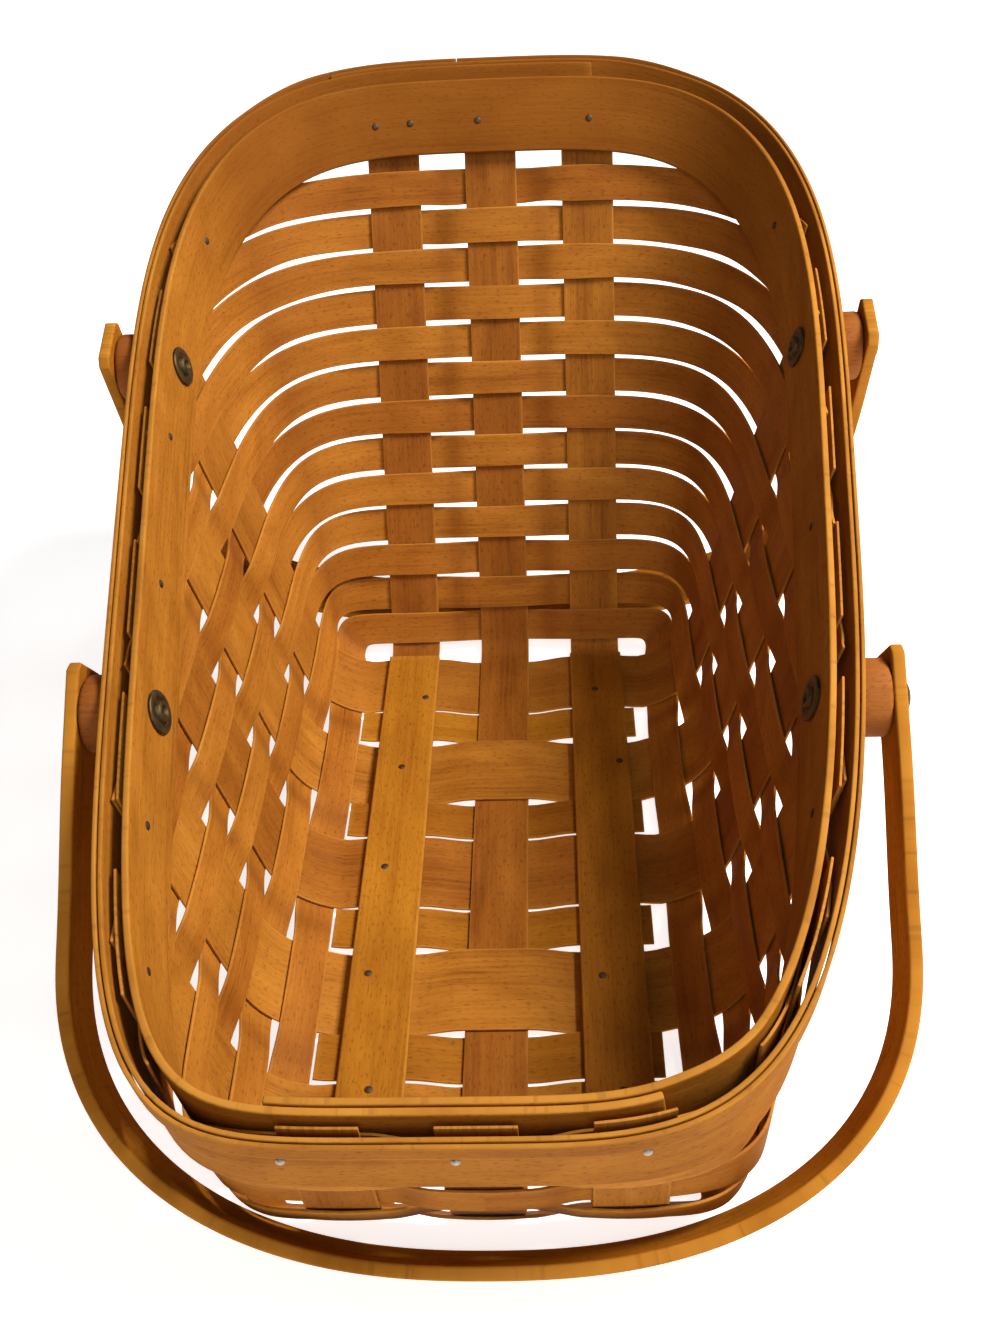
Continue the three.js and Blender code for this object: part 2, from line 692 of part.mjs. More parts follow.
// The narrow trim covers the top of the outer band, and rides over its lap.
function trimGeometry() {
  const lap = outerLap();
  const joint = rimAngleAtX(TRIM_JOINT_X, true);
  const whole = rimWalk(joint, joint + 2 * Math.PI);
  const slit = (2 * Math.PI * TRIM_JOINT) / whole.length;
  const walk = rimWalk(joint, joint + 2 * Math.PI - slit);
  const toLapEnd = rimWalk(joint, lap.end).length + LAP_MARGIN;
  const toLapStart = rimWalk(joint, lap.start + 2 * Math.PI).length - 2 * LAP_MARGIN;
  const layer = OUTER_BAND_THICKNESS + LAYER_GAP;
  return rimStripGeometry(walk, TRIM_WIDTH, TRIM_THICKNESS, (length) => {
    const leaving = 1 - smooth((length - toLapEnd - LAP_MARGIN) / LAP_EASE);
    const joining = smooth((length - (toLapStart - LAP_EASE - LAP_MARGIN)) / LAP_EASE);
    return TRIM_OFFSET + layer * Math.max(leaving, joining);
  });
}

// A frame on the wall a little below the rim: the point, its outward normal and the way up.
function wallFrame(angleFor, below) {
  const height = heightBelowRim(angleFor, below * RIM_NORMAL.z);
  const angle = angleFor(height);
  const point = wallPoint(angle, height);
  const step = 1e-3;
  const along = wallPoint(angle + step, height).sub(wallPoint(angle - step, height)).normalize();
  const up = wallPoint(angle, height + 0.5).sub(wallPoint(angle, height - 0.5)).normalize();
  return { point, up, outward: along.clone().cross(up).normalize() };
}

function pivotFrame(pivotY, side) {
  return wallFrame((height) => angleAtY(pivotY, height, side > 0), PIVOT_BELOW_RIM);
}

// Distance from the wall's middle to the seat of a spacer, on the face of the trim.
const SPACER_SEAT = TRIM_OFFSET + TRIM_THICKNESS / 2 + SEAT_GAP;

// A handle clears its two spacers, so its inside width follows the basket's width at the pivots.
function handleSpan(pivotY, spacerLength) {
  const { point, outward } = pivotFrame(pivotY, 1);
  return 2 * (point.x + SPACER_SEAT / outward.x + spacerLength + SEAT_GAP);
}

const FRONT_HANDLE_SPAN = handleSpan(FRONT_PIVOT_Y, FRONT_SPACER_LENGTH);
const REAR_HANDLE_SPAN = handleSpan(REAR_PIVOT_Y, REAR_SPACER_LENGTH);

const pivots = [
  { name: 'front', y: FRONT_PIVOT_Y, span: FRONT_HANDLE_SPAN },
  { name: 'rear', y: REAR_PIVOT_Y, span: REAR_HANDLE_SPAN },
].flatMap((pivot) => [-1, 1].map((side) => ({ ...pivot, side, frame: pivotFrame(pivot.y, side) })));

const pivotHeight = (name) => pivots.find((pivot) => pivot.name === name).frame.point.z;

// A round bar along X.
function barAlongX(diameter, fromX, toX, y, z, segments = 12) {
  const bar = new THREE.CylinderGeometry(diameter / 2, diameter / 2, Math.abs(toX - fromX), segments);
  bar.rotateZ(Math.PI / 2);
  bar.translate((fromX + toX) / 2, y, z);
  return bar;
}

// Cutters for the holes that the four rivets pass through.
function pivotHoles() {
  return pivots.map(({ side, span, frame }) => {
    const inside = side * (Math.abs(frame.point.x) - 12);
    const outside = side * (span / 2 + HANDLE_THICKNESS + 4);
    const diameter = SHANK_DIAMETER + 2 * PIN_GAP;
    return barAlongX(diameter, inside, outside, frame.point.y, frame.point.z);
  });
}

// A turned part about the outward direction of a frame.
function turnedAlong(profile, segments, origin, direction) {
  const lathe = new THREE.LatheGeometry(profile.map(([r, h]) => new THREE.Vector2(r, h)), segments);
  const turn = new THREE.Quaternion().setFromUnitVectors(new THREE.Vector3(0, 1, 0), direction);
  lathe.applyQuaternion(turn);
  lathe.translate(origin.x, origin.y, origin.z);
  return lathe;
}

// Inner head: a domed washer face with a ring and a dimple, flat on the inner band.
function innerHeadProfile() {
  const radius = INNER_HEAD_DIAMETER / 2;
  const height = INNER_HEAD_HEIGHT;
  return [
    [0, 0],
    [radius, 0],
    [radius, 0.3 * height],
    [0.72 * radius, 0.65 * height],
    [0.45 * radius, height],
    [0.2 * radius, height],
    [0, 0.6 * height],
  ];
}

function outerHeadProfile() {
  const radius = OUTER_HEAD_DIAMETER / 2;
  const height = OUTER_HEAD_HEIGHT;
  return [
    [0, 0],
    [radius, 0],
    [0.93 * radius, 0.45 * height],
    [0.62 * radius, 0.85 * height],
    [0, height],
  ];
}

function rivetGeometry({ side, span, frame }) {
  const { point, outward } = frame;
  const face = INNER_BAND_OFFSET - INNER_BAND_THICKNESS / 2 - SEAT_GAP;
  const headX = point.x + (side * face) / Math.abs(outward.x);
  const headAt = new THREE.Vector3(headX, point.y, point.z);
  const inward = outward.clone().negate();
  const innerHead = turnedAlong(innerHeadProfile(), 20, headAt, inward);
  const outerFace = side * (span / 2 + HANDLE_THICKNESS + PIN_GAP);
  const outerHead = turnedAlong(
    outerHeadProfile(),
    16,
    new THREE.Vector3(outerFace, point.y, point.z),
    new THREE.Vector3(side, 0, 0),
  );
  const reach = headAt.x - side * 0.5;
  const shank = barAlongX(SHANK_DIAMETER, reach, outerFace + side * 0.4, point.y, point.z);
  return asGeometry(asSolid(innerHead).add(asSolid(shank)).add(asSolid(outerHead)));
}

// The wooden spacer between the rim and a handle arm: its inner end follows the leaning rim.
function spacerGeometry({ side, span, frame }) {
  const { point, outward } = frame;
  const seatPoint = point.clone().addScaledVector(outward, SPACER_SEAT);
  const outerX = side * (span / 2 - SEAT_GAP);
  const outerRadius = SPACER_DIAMETER / 2;
  const boreRadius = SHANK_DIAMETER / 2 + PIN_GAP;
  const segments = 24;
  const ring = (radius, onRim) => Array.from({ length: segments }, (_, k) => {
    const turn = (2 * Math.PI * k) / segments;
    const y = point.y + radius * Math.cos(turn);
    const z = point.z + radius * Math.sin(turn);
    const slope = outward.y * (y - seatPoint.y) + outward.z * (z - seatPoint.z);
    return new THREE.Vector3(onRim ? seatPoint.x - slope / outward.x : outerX, y, z);
  });
  const rings = [
    ring(outerRadius, true),
    ring(outerRadius, false),
    ring(boreRadius, false),
    ring(boreRadius, true),
  ];
  const triangles = [];
  for (let r = 0; r < rings.length; r += 1) {
    for (let k = 0; k < segments; k += 1) {
      const a = r * segments + k;
      const b = r * segments + ((k + 1) % segments);
      const c = ((r + 1) % rings.length) * segments + ((k + 1) % segments);
      const d = ((r + 1) % rings.length) * segments + k;
      triangles.push(a, b, c, a, c, d);
    }
  }
  const geometry = new THREE.BufferGeometry();
  const positions = rings.flat().flatMap((corner) => corner.toArray());
  geometry.setAttribute('position', new THREE.Float32BufferAttribute(positions, 3));
  geometry.setIndex(triangles);
  return facingOut(geometry);
}

// The right half of a handle's middle line, from its end past the pivot to the top of its arch.
function handleLine(span, reach) {
  const half = span / 2 + HANDLE_THICKNESS / 2;
  const arm = reach - HANDLE_THICKNESS / 2 - HANDLE_ARCH_DEPTH;
  const line = [[half, -HANDLE_END], [half, 0], [half, arm / 2]];
  const turns = 14;
  for (let step = 0; step <= turns; step += 1) {
    const angle = (Math.PI / 2) * (step / turns);
    line.push([
      half * Math.cos(angle) ** (2 * HANDLE_ARCH_ROUNDNESS),
      arm + HANDLE_ARCH_DEPTH * Math.sin(angle) ** (2 * HANDLE_ARCH_ROUNDNESS),
    ]);
  }
  line[line.length - 1][0] = 0;
  return line;
}

// The front handle lies on the table, a standoff in front of the floor's edge: its dip from
// level, in degrees, and its reach follow from that place.
function frontHandleRest() {
  const along = FRONT_PIVOT_Y + FLOOR_HALF_LENGTH + FRONT_HANDLE_STANDOFF;
  const drop = pivotHeight('front') - TABLE_GAP;
  let dip = 0;
  for (let step = 0; step < 40; step += 1) {
    dip = Math.atan2(drop - (HANDLE_WIDTH / 2) * Math.cos(dip), along);
  }
  return { dip: THREE.MathUtils.radToDeg(dip), reach: along / Math.cos(dip) };
}

// Least distance behind the back wall of a rear handle that hangs at a dip from level.
function rearHandleRoom(dip) {
  const turn = radians(dip);
  const places = handleLine(REAR_HANDLE_SPAN, REAR_HANDLE_REACH).slice(3);
  const rooms = places.map(([x, along]) => {
    const inner = along - HANDLE_THICKNESS / 2;
    const y = REAR_PIVOT_Y + inner * Math.cos(turn) - (HANDLE_WIDTH / 2) * Math.sin(turn);
    const z = pivotHeight('rear') - inner * Math.sin(turn) - (HANDLE_WIDTH / 2) * Math.cos(turn);
    const height = Math.max(z - FLOOR_LEVEL, 0);
    return y - wallPoint(angleAtX(x, height, true), height).y - WEAVE_HALF;
  });
  return Math.min(...rooms);
}

// The rear handle hangs as near to the back wall as its clearance lets it, in degrees from level.
function rearHandleDip() {
  let low = 45;
  let high = 90;
  for (let step = 0; step < 40; step += 1) {
    const middle = (low + high) / 2;
    if (rearHandleRoom(middle) > REAR_HANDLE_CLEARANCE) {
      low = middle;
    } else {
      high = middle;
    }
  }
  return low;
}

// A bent strip: two arms and an arch, in the XY plane with its pivots on the X axis.
function handleGeometry(span, reach) {
  const right = handleLine(span, reach);
  const left = right.slice(0, -1).map(([x, y]) => [-x, y]).reverse();
  const lines = [...right, ...left].map(([x, y]) => (
    [-0.5, 0.5].map((edge) => new THREE.Vector3(x, y, edge * HANDLE_WIDTH))
  ));
  return stripGeometry(lines, HANDLE_THICKNESS);
}

// The corners of a handle's two ends are cut off.
function endCornerCutters(span) {
  const half = span / 2 + HANDLE_THICKNESS / 2;
  const size = 2 * HANDLE_END_CHAMFER * Math.SQRT1_2;
  return [-1, 1].flatMap((side) => [-1, 1].map((edge) => {
    const cutter = new THREE.BoxGeometry(3 * HANDLE_THICKNESS, size, size);
    cutter.rotateX(Math.PI / 4);
    cutter.translate(side * half, -HANDLE_END, (edge * HANDLE_WIDTH) / 2);
    return cutter;
  }));
}

function pivotBores(span) {
  return [-1, 1].map((side) => {
    const diameter = SHANK_DIAMETER + 2 * PIN_GAP;
    return barAlongX(diameter, side * (span / 2 - 4), side * (span / 2 + HANDLE_THICKNESS + 4), 0, 0);
  });
}

// Materials
function woodMaterial(colour, roughness) {
  return new THREE.MeshStandardMaterial({ color: colour, roughness, metalness: 0 });
}

const weaverMaterial = () => woodMaterial(0xb9763a, 0.55);
const uprightMaterial = () => woodMaterial(0xb06d33, 0.55);
const floorMaterial = () => woodMaterial(0xb8782c, 0.5);
const bandMaterial = () => woodMaterial(0xb5743a, 0.5);
const handleMaterial = () => woodMaterial(0xa8662c, 0.5);
const spacerMaterial = () => woodMaterial(0x9a5a2a, 0.6);
const rivetMaterial = () => (
  new THREE.MeshStandardMaterial({ color: 0x4a3a22, roughness: 0.4, metalness: 0.9 })
);

function part(name, geometry, material) {
  const mesh = new THREE.Mesh(geometry, material);
  mesh.name = name;
  return mesh;
}

function weave(holes) {
  const group = new THREE.Group();
  for (let row = 0; row < WEAVER_ROWS; row += 1) {
    const name = `weaver_row_${String(row + 1).padStart(2, '0')}`;
    group.add(part(name, cutBy(weaverGeometry(row), holes), weaverMaterial()));
  }
  CROSS_CENTRES.forEach((_, index) => {
    const splint = cutBy(crossSplintGeometry(index), holes);
    group.add(part(`cross_splint_${index + 1}`, splint, uprightMaterial()));
  });
  ['left', 'middle', 'right'].forEach((side, index) => {
    const geometry = lengthwiseSplintGeometry(UPRIGHT_CENTRES[index]);
    group.add(part(`lengthwise_splint_${side}`, geometry, uprightMaterial()));
  });
  for (let index = 0; index < CROSS_CENTRES.length - 1; index += 1) {
    group.add(part(`floor_filler_${index + 1}`, fillerGeometry(index), floorMaterial()));
  }
  return group;
}

function floorRunners() {
  const group = new THREE.Group();
  [['left', -1], ['right', 1]].forEach(([side, sign]) => {
    const runner = part(`floor_runner_${side}`, runnerGeometry(), floorMaterial());
    runner.position.set(sign * UPRIGHT_PITCH, 0, RUNNER_BOTTOM + RUNNER_THICKNESS / 2);
    group.add(runner);
  });
  return group;
}

function rim(holes) {
  const group = new THREE.Group();
  group.add(part('rim_band_inner', cutBy(innerBandGeometry(), holes), bandMaterial()));
  group.add(part('rim_band_outer', cutBy(outerBandGeometry(), holes), bandMaterial()));
  group.add(part('rim_trim', trimGeometry(), bandMaterial()));
  return group;
}

function pivotHardware() {
  const group = new THREE.Group();
  pivots.forEach((pivot) => {
    const label = `${pivot.name}_${pivot.side > 0 ? 'right' : 'left'}`;
    group.add(part(`rivet_${label}`, rivetGeometry(pivot), rivetMaterial()));
    group.add(part(`spacer_${label}`, spacerGeometry(pivot), spacerMaterial()));
  });
  return group;
}

function handle(name, span, reach, pivotY, turnDegrees) {
  const cutters = [...endCornerCutters(span), ...pivotBores(span)];
  const mesh = part(`${name}_handle`, cutBy(handleGeometry(span, reach), cutters), handleMaterial());
  mesh.position.set(0, pivotY, pivotHeight(name));
  mesh.rotation.x = radians(turnDegrees);
  return mesh;
}

const holes = pivotHoles();
const basket = new THREE.Group();
basket.add(weave(holes));
basket.add(floorRunners());
basket.add(rim(holes));
basket.add(pivotHardware());
const frontRest = frontHandleRest();
basket.add(handle('front', FRONT_HANDLE_SPAN, frontRest.reach, FRONT_PIVOT_Y, 180 + frontRest.dip));
basket.add(handle('rear', REAR_HANDLE_SPAN, REAR_HANDLE_REACH, REAR_PIVOT_Y, -rearHandleDip()));

export default basket;
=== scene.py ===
"""Looks of a vegetable basket woven of flat stained splints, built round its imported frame.

Sizes are in millimetres until a mesh is laid, and the finished meshes are in metres. +X is the
right side seen from the low front, +Y the high back, +Z up. A height on the wall is measured from
the floor's middle layer. A place round the wall is a turn: a complex number of length 1 whose
real part points to +X and whose imaginary part points to +Y, before the corners of the plan are
squared.
"""

import cmath
import json
import logging
import math
import random
from collections.abc import Callable, Sequence
from dataclasses import dataclass
from enum import Enum
from functools import cached_property

import bpy
import numpy as np
from mathutils import Matrix, Vector


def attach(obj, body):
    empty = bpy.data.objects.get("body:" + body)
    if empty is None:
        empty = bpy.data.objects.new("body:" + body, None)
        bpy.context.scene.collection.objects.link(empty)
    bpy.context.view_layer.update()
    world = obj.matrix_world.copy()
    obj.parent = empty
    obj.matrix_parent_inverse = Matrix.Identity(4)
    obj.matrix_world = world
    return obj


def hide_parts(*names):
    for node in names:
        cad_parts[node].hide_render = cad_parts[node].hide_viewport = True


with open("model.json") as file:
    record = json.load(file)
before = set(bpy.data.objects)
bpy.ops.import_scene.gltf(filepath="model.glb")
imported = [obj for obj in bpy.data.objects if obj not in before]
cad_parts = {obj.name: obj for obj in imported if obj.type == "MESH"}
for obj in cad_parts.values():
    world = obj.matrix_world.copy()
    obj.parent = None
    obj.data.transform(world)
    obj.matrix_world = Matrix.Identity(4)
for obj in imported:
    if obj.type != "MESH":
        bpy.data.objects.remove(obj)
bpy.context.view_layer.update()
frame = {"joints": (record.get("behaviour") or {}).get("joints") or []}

MM = 0.001
FULL_TURN = 2 * math.pi
SMALL_TURN = 1e-3
HANDLE_THICKNESS = 3.6
BORE_RADIUS = 2.8
SPLINT_SMOOTHING = 32.0

Colour = tuple[float, float, float]
Lines = np.ndarray
Piece = bpy.types.Object
Socket = bpy.types.NodeSocket
TurnLine = Callable[[float], complex]
log = logging.getLogger("basket")


def lerp(first: float, second: float, share: float) -> float:
    """Returns the value a share of the way from the first to the second."""
    return first + (second - first) * share


def smooth(share: float) -> float:
    """Returns a share from 0 to 1 eased at both ends."""
    share = min(max(share, 0.0), 1.0)
    return share * share * (3.0 - 2.0 * share)


def path_lengths(points: np.ndarray) -> np.ndarray:
    """Returns the length along a path at each of its points."""
    return np.concatenate([[0.0], np.cumsum(np.linalg.norm(np.diff(points, axis=0), axis=1))])


# ---- The basket's wall ----


@dataclass(frozen=True)
class Arc:
    """One bend of a wall in section, from the place where it starts.

    Args:
        turn: steepness at its start, in radians from level.
        distance: distance up the wall to its start.
        up: height of its start.
        out: how far its start stands out.
        radius: its radius, 0 for the straight part.
    """

    turn: float
    distance: float
    up: float
    out: float
    radius: float


@dataclass(frozen=True)
class WallProfile:
    """A wall in section: bends up from the floor, then a straight lean outwards.

    Args:
        flare: lean of the straight part from upright, in degrees.
        bends: radius of each bend and the steepness it ends at, in degrees from level.
    """

    flare: float
    bends: tuple[tuple[float, float], ...]

    @cached_property
    def stops(self) -> list[Arc]:
        """Finds where each bend and the straight part start.

        Returns:
            The start of each bend, and last the start of the straight part.
        """
        stops = [Arc(0.0, 0.0, 0.0, 0.0, 0.0)]
        for radius, until in self.bends:
            start = stops.pop()
            turn = math.radians(until)
            stops.append(Arc(start.turn, start.distance, start.up, start.out, radius))
            stops.append(
                Arc(
                    turn,
                    start.distance + radius * (turn - start.turn),
                    start.up + radius * (math.cos(start.turn) - math.cos(turn)),
                    start.out + radius * (math.sin(turn) - math.sin(start.turn)),
                    0.0,
                )
            )
        return stops

    @property
    def bend_length(self) -> float:
        """Returns the length of wall that the bends take."""
        return self.stops[-1].distance

    def up(self, distance: float) -> float:
        """Finds the height at a distance up the wall.

        Args:
            distance: distance along the section, from the floor's edge.

        Returns:
            The height.
        """
        straight = self.stops[-1]
        if distance >= straight.distance:
            return straight.up + (distance - straight.distance) * math.cos(math.radians(self.flare))
        arc = [stop for stop in self.stops[:-1] if stop.distance <= max(distance, 0.0)][-1]
        turn = arc.turn + (distance - arc.distance) / arc.radius
        return arc.up + arc.radius * (math.cos(arc.turn) - math.cos(turn))

    def _bend_at(self, height: float) -> tuple[Arc, float]:
        """Finds the bend that holds a height.

        Args:
            height: the height.

        Returns:
            The bend, and its steepness at that height, in radians from level.
        """
        arc = [stop for stop in self.stops[:-1] if stop.up <= max(height, 0.0)][-1]
        level = math.cos(arc.turn) - (height - arc.up) / arc.radius
        return arc, math.acos(min(1.0, level))

    def out(self, height: float) -> float:
        """Finds how far the wall stands out.

        Args:
            height: the height.

        Returns:
            The distance out from the floor's edge.
        """
        straight = self.stops[-1]
        if height >= straight.up:
            return straight.out + (height - straight.up) * math.tan(math.radians(self.flare))
        arc, turn = self._bend_at(height)
        return arc.out + arc.radius * (math.sin(turn) - math.sin(arc.turn))

    def distance(self, height: float) -> float:
        """Finds the distance up the wall at a height.

        Args:
            height: the height.

        Returns:
            The distance along the section, from the floor's edge.
        """
        straight = self.stops[-1]
        if height >= straight.up:
            return straight.distance + (height - straight.up) / math.cos(math.radians(self.flare))
        arc, turn = self._bend_at(height)
        return arc.distance + arc.radius * (turn - arc.turn)


@dataclass(frozen=True)
class BasketWall:
    """The middle surface of the woven wall, and the sloping plane of its rim.

    Args:
        half_width: half the floor's width.
        half_length: half the floor's length.
        floor_level: height of the floor's middle layer.
        floor_roundness: how round the floor's corners are: 0 is square, 0.5 an ellipse.
        rim_roundness: how round the rim's corners are.
        front_left_roundness: how round the rim's front left corner is.
        roundness_ease: how soon the corners grow round on the way up.
        front_rim: height of the rim at the middle of the front.
        back_rim: height of the rim at the middle of the back.
        side: section of both side walls.
        front: section of the front wall.
        back: section of the back wall.
    """

    half_width: float = 47.0
    half_length: float = 117.3
    floor_level: float = 1.5
    floor_roundness: float = 0.03
    rim_roundness: float = 0.28
    front_left_roundness: float = 0.17
    roundness_ease: float = 1.1
    front_rim: float = 75.6
    back_rim: float = 196.5
    side: WallProfile = WallProfile(14.5, ((28.0, 75.5),))
    front: WallProfile = WallProfile(9.0, ((8.0, 50.0), (68.0, 81.0)))
    back: WallProfile = WallProfile(24.6, ((8.0, 65.4),))

    def plan(self, height: float) -> tuple[float, float, float]:
        """Finds the plan of the wall at a height.

        Args:
            height: the height.

        Returns:
            The plan's half width, the y of its middle, and its half length.
        """
        back = self.half_length + self.back.out(height)
        front = self.half_length + self.front.out(height)
        return self.half_width + self.side.out(height), (back - front) / 2, (back + front) / 2

    def roundness(self, height: float, at_back: bool, at_right: bool) -> float:
        """Finds how round a corner is. Towards the rim the front left one is squarer.

        Args:
            height: the height.
            at_back: whether it is a back corner.
            at_right: whether it is a right corner.

        Returns:
            The roundness: 0 is square, 0.5 an ellipse.
        """
        share = height / ((self.back_rim if at_back else self.front_rim) - self.floor_level)
        eased = 1.0 - math.exp(-self.roundness_ease * share)
        whole = 1.0 - math.exp(-self.roundness_ease)
        round_corner = lerp(self.floor_roundness, self.rim_roundness, eased / whole)
        if at_back or at_right:
            return round_corner
        return round_corner - (self.rim_roundness - self.front_left_roundness) * smooth(share)

    def point(self, turn: complex, height: float) -> Vector:
        """Finds a point of the wall's middle surface.

        Args:
            turn: the place round the wall.
            height: the height.

        Returns:
            The point.
        """
        half_width, middle, half_length = self.plan(height)
        across, along = turn.real, turn.imag
        power = 2.0 * self.roundness(height, along > 0, across > 0)
        return Vector(
            (
                half_width * math.copysign(abs(across) ** power, across),
                middle + half_length * math.copysign(abs(along) ** power, along),
                self.floor_level + height,
            )
        )

    def turn_at_x(self, x: float, height: float, at_back: bool) -> complex:
        """Finds a place on an end wall by its x.

        Args:
            x: place across the basket.
            height: the height.
            at_back: whether it is on the back wall.

        Returns:
            The turn.
        """
        power = 1.0 / (2.0 * self.roundness(height, at_back, x > 0))
        across = min(abs(x) / self.plan(height)[0], 1.0) ** power
        along = math.sqrt(1.0 - across * across)
        return complex(math.copysign(across, x), along if at_back else -along)

    def turn_at_y(self, y: float, height: float, at_right: bool) -> complex:
        """Finds a place on a side wall by its y.

        Args:
            y: place along the basket.
            height: the height.
            at_right: whether it is on the right wall.

        Returns:
            The turn.
        """
        _, middle, half_length = self.plan(height)
        offset = (y - middle) / half_length
        power = 1.0 / (2.0 * self.roundness(height, offset > 0, at_right))
        along = min(abs(offset), 1.0) ** power
        across = math.sqrt(1.0 - along * along)
        return complex(across if at_right else -across, math.copysign(along, offset))

    @cached_property
    def rim_slope(self) -> float:
        """Returns the rise of the rim for each millimetre towards the back."""
        back_y = self.half_length + self.back.out(self.back_rim - self.floor_level)
        return (self.back_rim - self.front_rim) / (back_y - self.rim_front_y)

    @cached_property
    def rim_front_y(self) -> float:
        """Returns the y of the rim at the middle of the front."""
        return -(self.half_length + self.front.out(self.front_rim - self.floor_level))

    @cached_property
    def rim_normal(self) -> Vector:
        """Returns the direction square to the rim's plane."""
        return Vector((0.0, -self.rim_slope, 1.0)).normalized()

    def above_rim(self, point: Vector) -> float:
        """Returns the distance of a point above the rim's plane."""
        return (point - Vector((0.0, self.rim_front_y, self.front_rim))).dot(self.rim_normal)

    def height_below_rim(self, turn_for: TurnLine, below: float) -> float:
        """Finds where a line up the wall comes to a level below the rim's plane.

        Args:
            turn_for: the line's turn at any height.
            below: distance below the rim's plane.

        Returns:
            The height there.
        """
        halvings, headroom = 34, 1.3
        low, high = 0.0, headroom * self.back_rim
        for _ in range(halvings):
            middle = (low + high) / 2
            if self.above_rim(self.point(turn_for(middle), middle)) > -below:
                high = middle
            else:
                low = middle
        return low

    def row_point(self, turn_for: TurnLine, distance: float) -> Vector:
        """Finds a point of a row that keeps its distance up the wall.

        Args:
            turn_for: the turn of the place at any height.
            distance: the row's distance up the wall.

        Returns:
            The point.
        """
        rounds = 6
        height = distance
        turn = turn_for(height)
        for _ in range(rounds):
            end = self.back if turn.imag > 0 else self.front
            height = lerp(self.side.up(distance), end.up(distance), turn.imag**2)
            turn = turn_for(height)
        return self.point(turn, height)

    def frame_below_rim(self, y: float, at_right: bool, below: float) -> tuple[Vector, Vector]:
        """Finds the place on a side wall at a distance below the rim.

        Args:
            y: place along the basket.
            at_right: whether it is the right wall.
            below: distance below the rim, up the wall.

        Returns:
            The point on the wall's middle surface, and the direction out of the wall.
        """
        return self.frame_at(lambda height: self.turn_at_y(y, height, at_right), below)

    def frame_at(self, turn_for: TurnLine, below: float) -> tuple[Vector, Vector]:
        """Finds the place on a line up the wall at a distance below the rim.

        Args:
            turn_for: the line's turn at any height.
            below: distance below the rim, up the wall.

        Returns:
            The point on the wall's middle surface, and the direction out of the wall.
        """
        height = self.height_below_rim(turn_for, below * self.rim_normal.z)
        turn = turn_for(height)
        half_step = 0.5
        step = cmath.rect(1.0, SMALL_TURN)
        along = self.point(turn * step, height) - self.point(turn / step, height)
        rise = self.point(turn, height + half_step) - self.point(turn, height - half_step)
        return self.point(turn, height), along.cross(rise).normalized()


# ---- Finishes ----


